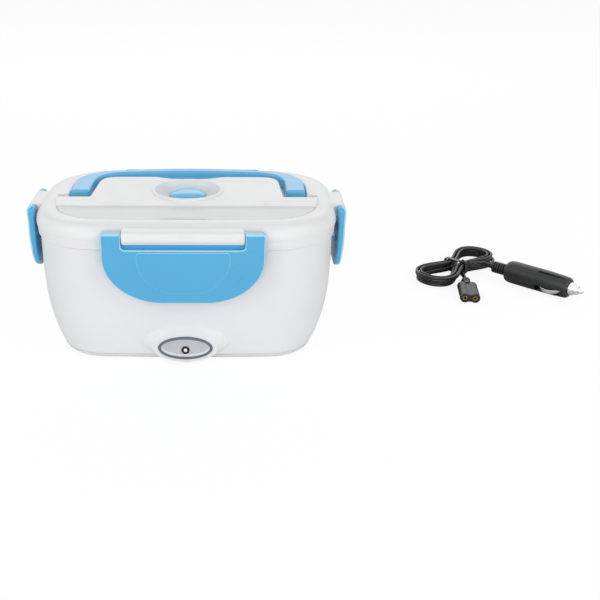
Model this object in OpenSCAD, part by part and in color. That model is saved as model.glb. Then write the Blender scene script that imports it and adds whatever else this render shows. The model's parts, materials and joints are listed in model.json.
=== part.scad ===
// Electric lunch box: heated base, lift-off lid with four clips and a bail handle,
// food container with a side tray, and a detached 12 V lead.
// The origin is under the middle of the box, +Z up, and the front faces -Y.

/* [Body] */
// Width of the body at the seam, left to right
body_w = 221; // [212:1:232]
// Depth of the body at the seam, front to back
body_d = 147; // [141:1:156]
// Height of the seam between body and lid
seam_z = 88; // [82:1:98]
// Corner radius of the body in plan
corner_r = 48; // [44:1:52]
// How far each side bows out in plan
side_bow = 1.2; // [0.6:0.1:2]
// How far each end wall draws in down to the base
taper_w = 14; // [10:0.5:17]
// How far the front and back walls draw in down to the base
taper_d = 3.5; // [2.5:0.5:5]
// How much the corner radius shrinks down to the base
taper_r = 13; // [9:0.5:16]
// Wall thickness of the outer shells
wall_t = 2.4; // [2:0.1:2.8]
// Height of the heated floor
floor_z = 21; // [20:0.5:23]

/* [Lid] */
// How far the lid skirt stands out from the body
skirt_out = 2.5; // [2:0.1:3]
// Height of the skirt's lower band
band_h = 8; // [6:0.5:9]
// Height of the lid frame above the seam
frame_h = 19; // [19:0.5:22]
// Height of the raised plateau above the lid frame
plateau_h = 3.5; // [2.5:0.5:4]
// Width of the rounded shoulder round the lid frame
shoulder_w = 12; // [10:0.5:13]
// Radius of the vent dish rim
dish_r = 27.4; // [25:0.2:29]
// Height of the dish rim above the plateau
dish_rim_h = 1.5; // [1:0.1:2]
// Radius of the vent plug
plug_r = 14.3; // [13:0.1:15.5]
// Radius of the vent hole
vent_r = 8; // [7:0.1:9]

/* [Handle] */
// How far the handle arms lie inside the ends of the body
handle_inset = 20; // [18.5:0.5:22.5]
// Width of each handle arm
arm_w = 15; // [13:0.5:16]
// Width of the handle's rear bar
bar_w = 9.5; // [8:0.5:11]
// Height of the handle's section
handle_t = 8.2; // [7:0.1:8.4]
// Reach of the handle behind its pivot
handle_reach = 58.5; // [56:0.5:59]
// How far the handle's rear bar bows back in the middle
bail_bow = 6; // [3:0.5:7]
// Radius of the handle's pivot stubs
handle_pin_r = 2; // [1.5:0.1:2.2]

/* [Clips] */
// Width of the front and back clips
long_clip_w = 115; // [105:1:120]
// Width of the side clips
short_clip_w = 52; // [48:1:58]
// Width of each ear of a long clip
long_ear_w = 14; // [12:0.5:16]
// Width of each ear of a short clip
short_ear_w = 9; // [8:0.5:11]
// Radius of the rounded clip ears
ear_r = 3.3; // [3:0.1:3.4]
// Drop from the pivot of a front or back clip to its lower edge
clip_drop = 51; // [46:1:54]
// Drop from the pivot of a side clip to its lower edge
side_clip_drop = 46; // [44:1:52]
// Drop from the clip pivot to the top of its plate
bar_drop = 9.6; // [8.5:0.2:11]
// Height of the raised panel on each clip's plate
clip_panel_t = 0.5; // [0.3:0.1:0.8]
// Radius of the clip pivot stubs
clip_pin_r = 1.9; // [1.5:0.1:2]
// Length of the clip pivot stubs
clip_pin_l = 5; // [4:0.5:7]

/* [Base] */
// Height of the rubber feet under the cover
foot_h = 1.2; // [1:0.1:2]
// Radius of the rubber feet
foot_r = 6.5; // [5:0.5:8]
// Height of the cover's visible edge
cover_edge_h = 2.8; // [2.6:0.1:3.4]
// Thickness of the base cover
cover_t = 2; // [1.6:0.1:2.4]
// Half width of the indicator boss
boss_a = 26; // [24:0.5:28]
// Half height of the indicator boss
boss_b = 11.4; // [11:0.1:11.5]
// How far the indicator boss stands out
boss_out = 5.4; // [4.5:0.1:6.5]
// Half width of the indicator bezel
bezel_a = 19.9; // [18:0.1:21]
// Half height of the indicator bezel
bezel_b = 9; // [8.4:0.1:9.4]
// Width of the bezel ring
bezel_ring = 2.2; // [1.8:0.1:2.6]

/* [Heater] */
// Length of the opening in the heated floor
opening_w = 120; // [110:1:124]
// Depth of the opening in the heated floor
opening_d = 72; // [64:1:80]
// Thickness of the heating plate
plate_t = 0.8; // [0.6:0.1:1]
// Overlap of the heating plate on the floor
plate_lap = 6; // [5:0.5:8]
// Length of the heater block
heater_w = 70; // [60:1:76]
// Depth of the heater block
heater_d = 36; // [30:1:44]
// Thickness of the heater block
heater_t = 7; // [6:0.1:7.2]

/* [Container] */
// Wall thickness of the food container
container_t = 2; // [1.6:0.1:2.2]
// Gap between the body wall and the container wall
container_gap = 3.4; // [3:0.1:4]
// Width of the side tray
tray_w = 66; // [56:1:70]
// Depth of the side tray
tray_d = 104; // [96:1:106]
// Height of the side tray
tray_h = 48; // [40:1:52]
// Wall thickness of the side tray
tray_t = 1.8; // [1.4:0.1:2]

/* [Lead] */
// Width of the flat twin cord
cord_w = 4.6; // [4.2:0.1:5]
// Thickness of the flat twin cord
cord_t = 2.4; // [2.2:0.1:2.6]
// Half length of the hank
hank_half = 50; // [49:0.5:54]
// Radius of the car plug
car_plug_r = 10; // [9.5:0.1:10.5]
// Length of the figure-eight connector
connector_l = 40; // [36:1:44]

/* [Hidden] */

// Clearances
part_gap = 0.3;     // between pieces on different bodies
pin_gap = 0.06;     // radial, between a pivot stub and its bore
seat_gap = 0.1;     // round a piece pressed into a recess
eps = 0.01;
$fn = 48;

// Heights
cover_z = foot_h;
base_z = foot_h + cover_edge_h;
step_z = seam_z + part_gap;
frame_z = seam_z + frame_h;
plateau_z = frame_z + plateau_h;
rim_z = plateau_z + dish_rim_h;

// Plan outline
corner_steps = 8;
side_points = [-0.5, 0, 0.5];
draw_power = 3.6;
base_levels = [0, 0.04, 0.1, 0.18, 0.3, 0.45, 0.7, 1];

// A closed outline with round corners of radius r and sides bowed by bow
function plan(w, d, r, bow = side_bow) =
    let (cx = w / 2 - bow - r, cy = d / 2 - bow - r)
    concat(
        [for (s = side_points) [w / 2 - bow * s * s, s * cy]],
        corner(cx, cy, r, 0),
        [for (s = side_points) [-s * cx, d / 2 - bow * s * s]],
        corner(-cx, cy, r, 90),
        [for (s = side_points) [-w / 2 + bow * s * s, -s * cy]],
        corner(-cx, -cy, r, 180),
        [for (s = side_points) [s * cx, -d / 2 + bow * s * s]],
        corner(cx, -cy, r, 270));

// The points of one quarter turn about [x, y]
function corner(x, y, r, start, steps = corner_steps) =
    [for (i = [0:steps]) [x + r * cos(start + 90 * i / steps), y + r * sin(start + 90 * i / steps)]];

function ellipse(a, b, n = 48) = [for (i = [0:n - 1]) [a * cos(360 * i / n), b * sin(360 * i / n)]];
function lift(points, z) = [for (p = points) [p[0], p[1], z]];
function mirrored(points) = [for (i = [len(points) - 1:-1:0]) [-points[i][0], points[i][1]]];

// Share of the taper that is left at height z of the body
function taper_at(z) = pow(1 - min(1, max(0, (z - base_z) / (seam_z - base_z))), draw_power);

// Outline of the body at height z, grown by g
function body_outline(z, g = 0) =
    let (f = taper_at(z))
    plan(body_w - 2 * taper_w * f + 2 * g, body_d - 2 * taper_d * f + 2 * g, corner_r - taper_r * f + g);

// Outline at the seam, grown by g
function seam_outline(g) = plan(body_w + 2 * g, body_d + 2 * g, corner_r + g);

// Stacks outlines of equal length into one closed skin
module loft(rings) {
    n = len(rings[0]);
    m = len(rings);
    polyhedron(
        points = [for (ring = rings) each ring],
        faces = concat(
            [[for (i = [0:n - 1]) i]],
            [[for (i = [n - 1:-1:0]) (m - 1) * n + i]],
            [for (j = [0:m - 2]) for (i = [0:n - 1]) [j * n + i, (j + 1) * n + i, (j + 1) * n + (i + 1) % n]],
            [for (j = [0:m - 2]) for (i = [0:n - 1])
                [j * n + i, (j + 1) * n + (i + 1) % n, j * n + (i + 1) % n]]));
}

// A straight prism between two heights
module prism(points, z0, z1) {
    translate([0, 0, z0])
        linear_extrude(z1 - z0)
            polygon(points);
}

// A prism that stands out along -Y, drawn in X and Z
module front_prism(points, y0, y1) {
    translate([0, y1, 0])
        rotate([90, 0, 0])
            linear_extrude(y1 - y0)
                polygon(points);
}

module rounded_plate(w, d, r, z0, z1) {
    prism(plan(w, d, r, 0), z0, z1);
}

// ---------------------------------------------------------------- base

lip_inset = 3;
lip_t = 2;
lip_h = 4.3;
floor_t = 2.4;
under_z = floor_z - floor_t;
thick_top = 6;          // height of the thicker wall under the lip
screw_x = 76;
screw_y = 44;
screw_r = 1.3;
boss_r = 3.6;
bracket_x = opening_w / 2 + 4.5;

// The catch ribs that the clips close under
catch_out = skirt_out + 0.2;
catch_h = 3;
catch_z = seam_z - 10;

// Inlet at the back: two pins in a figure-eight socket
inlet_z = 11.2;
inlet_w = 24;
inlet_h = 12.6;
inlet_depth = 17;
socket_w = 17.6;
socket_h = 9;
socket_depth = 12;
pin_pitch = 8.6;
inlet_back = body_d / 2 - inlet_depth - 5;
pin_r = 1.2;

boss_z = cover_z + boss_b + 0.1;
wall_front = body_d / 2 - taper_d * taper_at(boss_z);
boss_front = wall_front + boss_out;
boss_wall = 1.6;
recess_depth = 2.4;
recess_y = boss_front - recess_depth;
board_y = recess_y - boss_wall - 1.6;
board_t = 1.2;
led_r = 1.5;
led_z = boss_z - 2.2;

module boss_body(g = 0) {
    inner = wall_front - 2;
    shape = [[inner, 0, 0], [boss_front - 2.2, 0, 0], [boss_front - 0.6, 1.3, 1], [boss_front, 3, 2]];
    translate([0, 0, boss_z])
        rotate([90, 0, 0])
            loft([for (s = shape) lift(ellipse(boss_a - s[1] + g, boss_b - s[2] + g, 40), s[0])]);
}

module base_outer() {
    loft([for (t = base_levels) let (z = base_z + t * (seam_z - base_z)) lift(body_outline(z), z)]);
    prism(seam_outline(-lip_inset), seam_z - 1, seam_z + lip_h);
    boss_body();
    // catch ribs on all four sides
    for (s = [-1, 1]) {
        translate([-long_catch_w / 2, s > 0 ? body_d / 2 - wall_t : -body_d / 2 - catch_out, catch_z])
            cube([long_catch_w, wall_t + catch_out, catch_h]);
        translate([s > 0 ? body_w / 2 - wall_t : -body_w / 2 - catch_out, -short_catch_w / 2, catch_z])
            cube([wall_t + catch_out, short_catch_w, catch_h]);
    }
}
long_catch_w = long_clip_w - 2 * long_ear_w - 8;
short_catch_w = short_clip_w - 2 * short_ear_w - 6;

module food_space() {
    top = seam_z - thick_top;
    levels = [0, 0.05, 0.12, 0.25, 0.45, 0.7, 1];
    loft([for (t = levels)
        let (z = floor_z + t * (top - floor_z))
        lift(body_outline(z, -wall_t), z)]);
    prism(seam_outline(-lip_inset - lip_t), top - 1, seam_z + lip_h + 1);
}

module works_space() {
    levels = [0, 0.2, 0.45, 0.7, 1];
    bottom = base_z - 1;
    loft([for (t = levels)
        let (z = bottom + t * (under_z - bottom))
        lift(body_outline(z, -wall_t), z)]);
    // hollow of the indicator boss
    translate([-board_w / 2 - 1.5, -(recess_y - boss_wall), base_z + 0.8])
        cube([board_w + 3, 8, under_z - base_z - 0.8]);
}
board_w = 30;
board_h = 11;

module screw_posts() {
    for (x = [-screw_x, screw_x]) for (y = [-screw_y, screw_y])
        translate([x, y, cover_z + cover_t])
            cylinder(h = floor_z - 1 - cover_z - cover_t, r = boss_r);
    for (x = [-bracket_x, bracket_x])
        translate([x, 0, bracket_top])
            cylinder(h = floor_z - 1 - bracket_top, r = boss_r);
}
bracket_t = 1.2;
plate_z = floor_z + 0.8;                    // underside of the heating plate
heater_z = plate_z - heater_t;
bracket_top = heater_z;

module base_shell() {
    color("#eceff1")
    difference() {
        union() {
            difference() {
                base_outer();
                food_space();
                works_space();
            }
            screw_posts();
        }
        rounded_plate(opening_w, opening_d, 10, under_z - 1, floor_z + 1);
        // indicator recess and light hole
        front_prism([for (p = ellipse(bezel_a + seat_gap, bezel_b + seat_gap)) [p[0], p[1] + boss_z]],
            -boss_front - 1, -recess_y);
        translate([0, -recess_y + boss_wall + 1, led_z])
            rotate([90, 0, 0])
                cylinder(h = boss_wall + 2, r = led_r + 0.1);
        // inlet opening at the back
        translate([0, body_d / 2 - inlet_depth, inlet_z])
            rotate([-90, 0, 0])
                linear_extrude(inlet_depth + 1)
                    polygon(plan(inlet_w + 2 * seat_gap, inlet_h + 2 * seat_gap, inlet_h / 2 - 0.5, 0));
        for (x = [-screw_x, screw_x]) for (y = [-screw_y, screw_y])
            translate([x, y, cover_z])
                cylinder(h = 12, r = screw_r);
        for (x = [-bracket_x, bracket_x])
            translate([x, 0, bracket_top - 1])
                cylinder(h = 6, r = screw_r);
    }
}

cover_lip_t = 1.6;
cover_lip_h = 2.4;
module base_cover() {
    color("#e6e8e9")
    difference() {
        union() {
            loft([
                lift(body_outline(base_z, -1.8), cover_z),
                lift(body_outline(base_z, -0.5), cover_z + 1.2),
                lift(body_outline(base_z, 0), base_z - 0.4),
                lift(body_outline(base_z, -0.2), base_z)]);
            prism(body_outline(base_z, -wall_t - 2 * seat_gap), cover_z + cover_t, base_z + cover_lip_h);
        }
        prism(body_outline(base_z, -wall_t - 2 * seat_gap - cover_lip_t), cover_z + cover_t, base_z + 10);
        // gap in the lip at the inlet
        translate([-inlet_w / 2 - 2, body_d / 2 - inlet_depth - 1, base_z])
            cube([inlet_w + 4, inlet_depth + 2, 10]);
        boss_body(0.2);
        for (x = [-screw_x, screw_x]) for (y = [-screw_y, screw_y])
            translate([x, y, cover_z - 1]) {
                cylinder(h = cover_t + 2, r = screw_r + 0.2);
                cylinder(h = 1 + screw_head_h + 0.2, r = screw_head_r + 0.2);
            }
        for (x = [-foot_x, foot_x]) for (y = [-foot_y, foot_y])
            translate([x, y, cover_z - 1])
                cylinder(h = 1 + foot_sink, r = foot_r + seat_gap);
    }
}
screw_head_r = 2.8;
screw_head_h = 0.9;
foot_sink = 0.8;
foot_x = 66;
foot_y = 50;

module cover_screws() {
    color("silver")
    for (x = [-screw_x, screw_x]) for (y = [-screw_y, screw_y])
        translate([x, y, cover_z + 0.1]) {
            cylinder(h = 10, r = screw_r - 0.05);
            cylinder(h = screw_head_h, r = screw_head_r);
        }
}

module feet() {
    color("#dfe3e6")
    for (x = [-foot_x, foot_x]) for (y = [-foot_y, foot_y])
        translate([x, y, 0])
            cylinder(h = foot_h + foot_sink, r1 = foot_r - 0.6, r2 = foot_r);
}

module heating_plate() {
    color("#c9ccd0")
    rounded_plate(opening_w + 2 * plate_lap, opening_d + 2 * plate_lap, 14, plate_z, plate_z + plate_t);
}

module plate_gasket() {
    color("#b8bcc0")
    difference() {
        rounded_plate(opening_w + 2 * plate_lap, opening_d + 2 * plate_lap, 14, floor_z, plate_z);
        rounded_plate(opening_w, opening_d, 10, floor_z - 1, plate_z + 1);
    }
}

module ptc_heater() {
    color("#b4b8bc")
    translate([-heater_w / 2, -heater_d / 2, heater_z])
        difference() {
            cube([heater_w, heater_d, heater_t]);
            // cooling slots along the block's long edges
            for (y = [-1, heater_d - 2]) for (x = [6:8:heater_w - 8])
                translate([x, y, -1])
                    cube([3, 3, heater_t - 1]);
        }
}

thermostat_x = opening_w / 2 - 12;
thermostat_r = 8;
fuse_x = 13 - opening_w / 2;
bracket_d = 16;
module heater_bracket() {
    color("#9aa0a6")
    difference() {
        translate([-bracket_x - 6, -bracket_d / 2, heater_z - bracket_t])
            cube([2 * bracket_x + 12, bracket_d, bracket_t]);
        for (x = [-bracket_x, bracket_x])
            translate([x, 0, heater_z - bracket_t - 1])
                cylinder(h = bracket_t + 2, r = screw_r + 0.2);
    }
}

module bracket_screws() {
    color("silver")
    for (x = [-bracket_x, bracket_x])
        translate([x, 0, heater_z - bracket_t - 1.6]) {
            cylinder(h = 1.6, r = 2.6);
            cylinder(h = 6.4, r = screw_r - 0.05);
        }
}

module thermostat() {
    color("#5b4636")
    translate([thermostat_x, 0, heater_z]) {
        cylinder(h = plate_z - heater_z, r = thermostat_r);
        for (y = [-1, 1])
            translate([-3, y * 9.2 - 1.6, 1])
                cube([6, 3.2, 0.8]);
    }
}

fuse_r = 2;
module thermal_fuse() {
    color("#d9d4c5")
    translate([fuse_x, -6, heater_z + fuse_r])
        rotate([-90, 0, 0])
            cylinder(h = 12, r = fuse_r);
}

module inlet_body() {
    color("#2b2d30")
    translate([0, 0, inlet_z])
        rotate([-90, 0, 0])
            difference() {
                union() {
                    translate([0, 0, body_d / 2 - inlet_depth])
                        linear_extrude(inlet_depth + 0.4)
                            polygon(plan(inlet_w, inlet_h, inlet_h / 2 - 0.6, 0));
                    translate([0, 0, body_d / 2 + 0.1])
                        linear_extrude(1.2)
                            polygon(plan(inlet_w + 4, inlet_h + 2.6, inlet_h / 2 + 0.6, 0));
                }
                translate([0, 0, body_d / 2 - socket_depth])
                    linear_extrude(socket_depth + 3)
                        polygon(plan(socket_w, socket_h, socket_h / 2 - 0.1, 0));
                for (x = [-pin_pitch / 2, pin_pitch / 2])
                    translate([x, 0, body_d / 2 - inlet_depth - 1])
                        cylinder(h = inlet_depth, r = pin_r);
            }
}

module inlet_pins() {
    color("#c9a64a")
    for (x = [-pin_pitch / 2, pin_pitch / 2])
        translate([x, body_d / 2 - inlet_depth - 5, inlet_z])
            rotate([-90, 0, 0])
                cylinder(h = inlet_depth + 3, r = pin_r);
}

// A round tube swept along a route of points, n sides
function unit(v) = v / norm(v);
function tangent(p, i) = unit(p[min(i + 1, len(p) - 1)] - p[max(i - 1, 0)]);
module tube(route, r, n = 8) {
    m = len(route);
    rings = [for (i = [0:m - 1])
        let (t = tangent(route, i), side = unit(cross([0, 0, 1], t)), up = cross(t, side))
        [for (k = [0:n - 1]) route[i] + r * cos(360 * k / n) * side + r * sin(360 * k / n) * up]];
    loft(rings);
}

// Points along a smooth curve through a list of knots
function spline_point(a, b, c, d, t) =
    0.5 * (2 * b + (c - a) * t + (2 * a - 5 * b + 4 * c - d) * t * t + (3 * b - a - 3 * c + d) * t * t * t);
function smooth_route(k, steps) = concat(
    [for (i = [0:len(k) - 2]) for (s = [0:steps - 1])
        spline_point(k[max(i - 1, 0)], k[i], k[i + 1], k[min(i + 2, len(k) - 1)], s / steps)],
    [k[len(k) - 1]]);

wire_r = 0.9;
wire_z = cover_z + cover_t + 4;
heater_side = heater_w / 2 + wire_r + 0.1;
board_back = -board_y + board_t + 0.5;
module wire(knots) {
    tube(smooth_route(knots, 4), wire_r, 6);
}
module wiring() {
    color("#c0392b") {
        wire([[-pin_pitch / 2, inlet_back - 0.6, inlet_z], [-6, inlet_back - 5.5, 9.5],
            [-30, inlet_back - 17.5, wire_z], [fuse_x, 20, wire_z + 2], [fuse_x, 6.8, heater_z + fuse_r]]);
        wire([[pin_pitch / 2, inlet_back - 0.6, inlet_z], [6, inlet_back - 5.5, 9.5],
            [28, inlet_back - 17.5, wire_z], [thermostat_x - 2, 24, 12],
            [thermostat_x, 11.6, heater_z + 1.4]]);
    }
    color("#2c3e50") {
        wire([[fuse_x, -6.8, heater_z + fuse_r], [fuse_x + 1, -18, 12], [-heater_side - 6, -24, 15],
            [-heater_side - 1.5, -15, 17.5], [-heater_side, -10, heater_z + 4]]);
        wire([[thermostat_x, -11.6, heater_z + 1.4], [thermostat_x - 2, -22, 13],
            [heater_side + 5, -22, 16], [heater_side, -10, heater_z + 4]]);
        for (s = [-1, 1])
            wire([[s * 10, board_back, boss_z - 1], [s * 14, board_back + 12, 9], [s * 30, board_back + 24, 8],
                [s * (heater_side + 6), board_back + 36, 8], [s * (heater_side - 6), -20, heater_z - 3]]);
    }
}

module indicator_board() {
    color("#2e7d4f")
    translate([-board_w / 2, -board_y, boss_z - board_h / 2])
        cube([board_w, board_t, board_h]);
}

module indicator_led() {
    color("#f4f6f0")
    translate([0, -board_y, led_z])
        rotate([90, 0, 0]) {
            cylinder(h = 1, r = led_r + 0.4);
            cylinder(h = recess_y + 0.9 - board_y, r = led_r);
            translate([0, 0, recess_y + 0.9 - board_y])
                difference() {
                    sphere(r = led_r);
                    translate([-3, -3, -6])
                        cube(6);
                }
        }
}

module led_resistor() {
    color("#d8c39a")
    translate([-3, -board_y + board_t + 1.15, boss_z - 2])
        rotate([0, 90, 0])
            cylinder(h = 6, r = 1.1);
}

panel_t = 1;
module indicator_panel() {
    color("#b4b5bb")
    difference() {
        front_prism([for (p = ellipse(bezel_a - bezel_ring, bezel_b - bezel_ring)) [p[0], p[1] + boss_z]],
            -recess_y - panel_t, -recess_y);
        translate([0, -recess_y + 1, led_z])
            rotate([90, 0, 0])
                cylinder(h = panel_t + 2, r = led_ring_r + 0.05);
    }
}
led_ring_r = 3;

module led_ring() {
    color("#2a2c31")
    translate([0, -recess_y, led_z])
        rotate([90, 0, 0])
            difference() {
                cylinder(h = panel_t + 0.5, r = led_ring_r);
                translate([0, 0, -1])
                    cylinder(h = panel_t + 3, r = led_r + 0.1);
            }
}

module indicator_bezel() {
    color("#6c7381")
    difference() {
        front_prism([for (p = ellipse(bezel_a, bezel_b)) [p[0], p[1] + boss_z]], -boss_front - 0.8, -recess_y);
        front_prism([for (p = ellipse(bezel_a - bezel_ring + 0.02, bezel_b - bezel_ring + 0.02))
            [p[0], p[1] + boss_z]], -boss_front - 2, -recess_y + 1);
    }
}

// ---------------------------------------------------------------- lid

// Half sizes of the lid frame's flat top
lid_w = body_w + 2 * skirt_out;
lid_d = body_d + 2 * skirt_out;
lid_r = corner_r + skirt_out;
lid_wall = 2.2;
roof_t = 2.2;

// Outline of the lid at drop h below the frame top, grown by g: a rounded shoulder
function shoulder_in(h) = let (q = min(1, h / (frame_h - band_h)))
    shoulder_w * (1 - pow(1 - pow(1 - q, 2.6), 1 / 2.6));
function lid_outline(in, g = 0) = plan(lid_w - 2 * in + 2 * g, lid_d - 2 * in + 2 * g, lid_r - in + g);
shoulder_levels = [0, 0.02, 0.08, 0.2, 0.38, 0.62, 1];

module lid_outer(g = 0, drop = 0, foot = 0) {
    bottom = step_z - foot;
    loft(concat(
        [lift(lid_outline(1, g), bottom), lift(lid_outline(0.1, g), seam_z + band_h - 0.3),
            lift(lid_outline(0, g), seam_z + band_h)],
        [for (i = [len(shoulder_levels) - 2:-1:0])
            let (h = shoulder_levels[i] * (frame_h - band_h))
            lift(lid_outline(shoulder_in(h), g), frame_z - h - drop)]));
}

// Depth of the layout on top of the lid, front to back
layout_d = 0.5 * body_d;
strip_front = 45 - layout_d;
cover_back = strip_front - 2;

// Trough that the handle lies in
handle_w = body_w - 2 * handle_inset;
trough_side = handle_w / 2 + 1.2;
trough_front = strip_front + 11.5;
pivot_y = 4;
pivot_z = frame_z - 3.2;
handle_back = pivot_y + handle_reach;
trough_rear = handle_back + 1.4;
trough_r = 35.2;
handle_top = plateau_z - 0.1;
trough_z = handle_top - handle_t - 0.4;
pivot_floor = pivot_z - 6.2;
pocket_side = trough_side + 7.5;
pocket_rear = -0.5;

// An outline with a straight front, round rear corners and a rear edge bowed by bow
function bail_outline(side, front, rear, r, bow, g = 0) = concat(
    [[-side - g, front - g], [side + g, front - g]],
    corner(side - r, rear - bow - r, r + g, 0),
    [for (s = [0.67, 0.33, 0, -0.33, -0.67]) [s * (side - r), rear - bow * s * s + g]],
    corner(-side + r, rear - bow - r, r + g, 90));

// Outline of the trough's outer edge, grown by g
function trough_outline(g = 0) = bail_outline(trough_side, trough_front, trough_rear, trough_r, bail_bow, g);

function pocket_outline(g = 0) = [
    [-pocket_side - g, trough_front - g], [pocket_side + g, trough_front - g],
    [pocket_side + g, pocket_rear + g], [-pocket_side - g, pocket_rear + g]];

// The raised plateau: a front strip and an island that the handle goes round
strip_half_w = body_w / 2 - 13.5;
island_front_w = handle_w / 2 - arm_w - 2.5;
island_rear_w = island_front_w - 3;
island_rear = 36.5;
island_dip = 31;
island_r = 14;
function island_right(g) = concat(
    [[island_front_w + g, trough_front - 1], [island_rear_w + 1 + g, island_rear - 2 * island_r]],
    corner(island_rear_w - island_r, island_rear - island_r, island_r + g, 0, 6),
    [[30, island_rear + g], [22, island_rear - 0.3 * (island_rear - island_dip) + g],
        [12, island_dip + 0.7 + g], [0, island_dip + g]]);
function island_outline(g = 0) = concat(island_right(g), [for (p = mirrored(island_right(g))) p]);

function strip_outline(g = 0) = concat(
    [[-strip_half_w - g, strip_front - g], [strip_half_w + g, strip_front - g]],
    [[strip_half_w + 2 + g, (strip_front + trough_front) / 2], [strip_half_w + 2.5 + g, trough_front + g]],
    [[-strip_half_w - 2.5 - g, trough_front + g], [-strip_half_w - 2 - g, (strip_front + trough_front) / 2]]);

// Spoon compartment under a crescent-shaped cover
cover_inset = 15;
cover_plate_t = 2;
recess_lap = 4.5;
compartment_z = frame_z - 10.5;

// The part of the lid outline, drawn in by in, that lies in front of y
module crescent_prism(in, y, z0, z1) {
    intersection() {
        prism(lid_outline(in), z0, z1);
        translate([-lid_w, y - lid_d, z0 - 1])
            cube([2 * lid_w, lid_d, z1 - z0 + 2]);
    }
}

// Vent dish
dish_y = -1.5;
dish_floor = frame_z - 3;
dish_floor_r = 17;
dish_t = 2;
module dish_block() {
    translate([0, dish_y, 0])
        rotate_extrude(angle = 360)
            polygon([[0, dish_floor - dish_t], [dish_floor_r + 2, dish_floor - dish_t],
                [dish_r - 1, plateau_z - 3], [dish_r, plateau_z - eps], [dish_r - 0.4, rim_z - 0.4],
                [dish_r - 1.4, rim_z], [0, rim_z]]);
}
module dish_cut() {
    translate([0, dish_y, 0])
        rotate_extrude(angle = 360)
            polygon([[0, dish_floor], [dish_floor_r, dish_floor], [dish_floor_r + 4, dish_floor + 1.6],
                [dish_r - 3.6, plateau_z - 1.4], [dish_r - 2.4, rim_z - 0.3], [dish_r - 1.6, rim_z + 1],
                [0, rim_z + 1]]);
    translate([0, dish_y, dish_floor - dish_t - 1])
        cylinder(h = dish_t + 2, r = vent_r);
}

// Clip tabs: the clip pivots lie just outside the lid's rim
pivot_out = 0.3 + ear_r;
clip_pivot_z = frame_z - 6;
front_pivot = lid_d / 2 + pivot_out;
side_pivot = lid_w / 2 + pivot_out;
tab_gap = 0.5;
tab_drop = 6;

// Runs its children at each of the four clips: y out, z up, x along, from the pivot
module at_side(i) {
    turns = [0, 180, -90, 90];
    out = [front_pivot, front_pivot, side_pivot, side_pivot];
    rotate([0, 0, turns[i]])
        translate([0, -out[i], clip_pivot_z])
            children();
}

// Profile of a tab in [outward, up]
function tab_profile() = concat(
    [[-14, -2], [-pivot_out - 1.8, -tab_drop], [1.4, -tab_drop], [ear_r, -tab_drop + 2.6]],
    [for (a = [0:15:90]) [ear_r * cos(a), ear_r * sin(a)]],
    [[-14, ear_r + 0.6]]);

module along_x(half_w) {
    rotate([90, 0, 90])
        translate([0, 0, -half_w])
            linear_extrude(2 * half_w)
                mirror([1, 0])
                    children();
}

module tab(clip_w, ear_w) {
    half = clip_w / 2 - ear_w - tab_gap;
    difference() {
        along_x(half)
            polygon(tab_profile());
        for (s = [-1, 1])
            translate([s * (half - clip_pin_l - 1), 0, 0])
                rotate([0, s * 90, 0])
                    cylinder(h = clip_pin_l + 2, r = clip_pin_r + pin_gap);
    }
}

module tabs_trimmed() {
    difference() {
        for (i = [0:3])
            at_side(i)
                tab(i < 2 ? long_clip_w : short_clip_w, i < 2 ? long_ear_w : short_ear_w);
        lid_outer(-lid_wall + 0.2, 0.3, 4);
    }
}

peg_r = 1.5;
liner_z = seam_z + 9.6;
flange_t = 1.6;

module lid_posts() {
    intersection() {
        for (p = post_points())
            translate([p[0], p[1], liner_z + flange_t])
                cylinder(h = frame_z - liner_z - flange_t, r = 2.8);
        lid_outer(-lid_wall / 2, roof_t / 2, 2);
    }
}
function post_points() = [
    for (s = [-1, 1]) [s * (lid_w / 2 - 7.5), 22],
    for (s = [-1, 1]) [s * (lid_w / 2 - 7.5), -22],
    for (s = [-1, 1]) [s * 20, -lid_d / 2 + 7.2]];

module trough_block() {
    prism(trough_outline(2), trough_z - 2, frame_z);
    // deeper seats under the pivots, with the pocket beside each arm
    for (s = [0, 1])
        mirror([s, 0, 0]) {
            translate([trough_side - arm_w - 3.2, trough_front - 2, pivot_floor - 1.6])
                cube([arm_w + 5.2, pivot_y + 11 - trough_front, frame_z - pivot_floor + 1.6 - eps]);
            translate([trough_side - 2, trough_front - 2, trough_z - 2])
                cube([pocket_side - trough_side + 4, pivot_y + 11 - trough_front,
                    frame_z - trough_z + 2 - eps]);
        }
}

module trough_cut() {
    prism(trough_outline(), trough_z, plateau_z + 5);
    for (s = [0, 1])
        mirror([s, 0, 0]) {
            translate([trough_side - arm_w - 1.2, trough_front, pivot_floor])
                cube([arm_w + 1.2, pivot_y + 9 - trough_front, plateau_z]);
            translate([trough_side - 1, trough_front, trough_z])
                cube([pocket_side - trough_side + 1, pocket_rear - trough_front, plateau_z]);
            // pivot bores
            translate([trough_side - 1, pivot_y, pivot_z])
                rotate([0, 90, 0])
                    cylinder(h = handle_pin_l + 1, r = handle_pin_r + pin_gap);
        }
}
handle_pin_l = 5;

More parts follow.
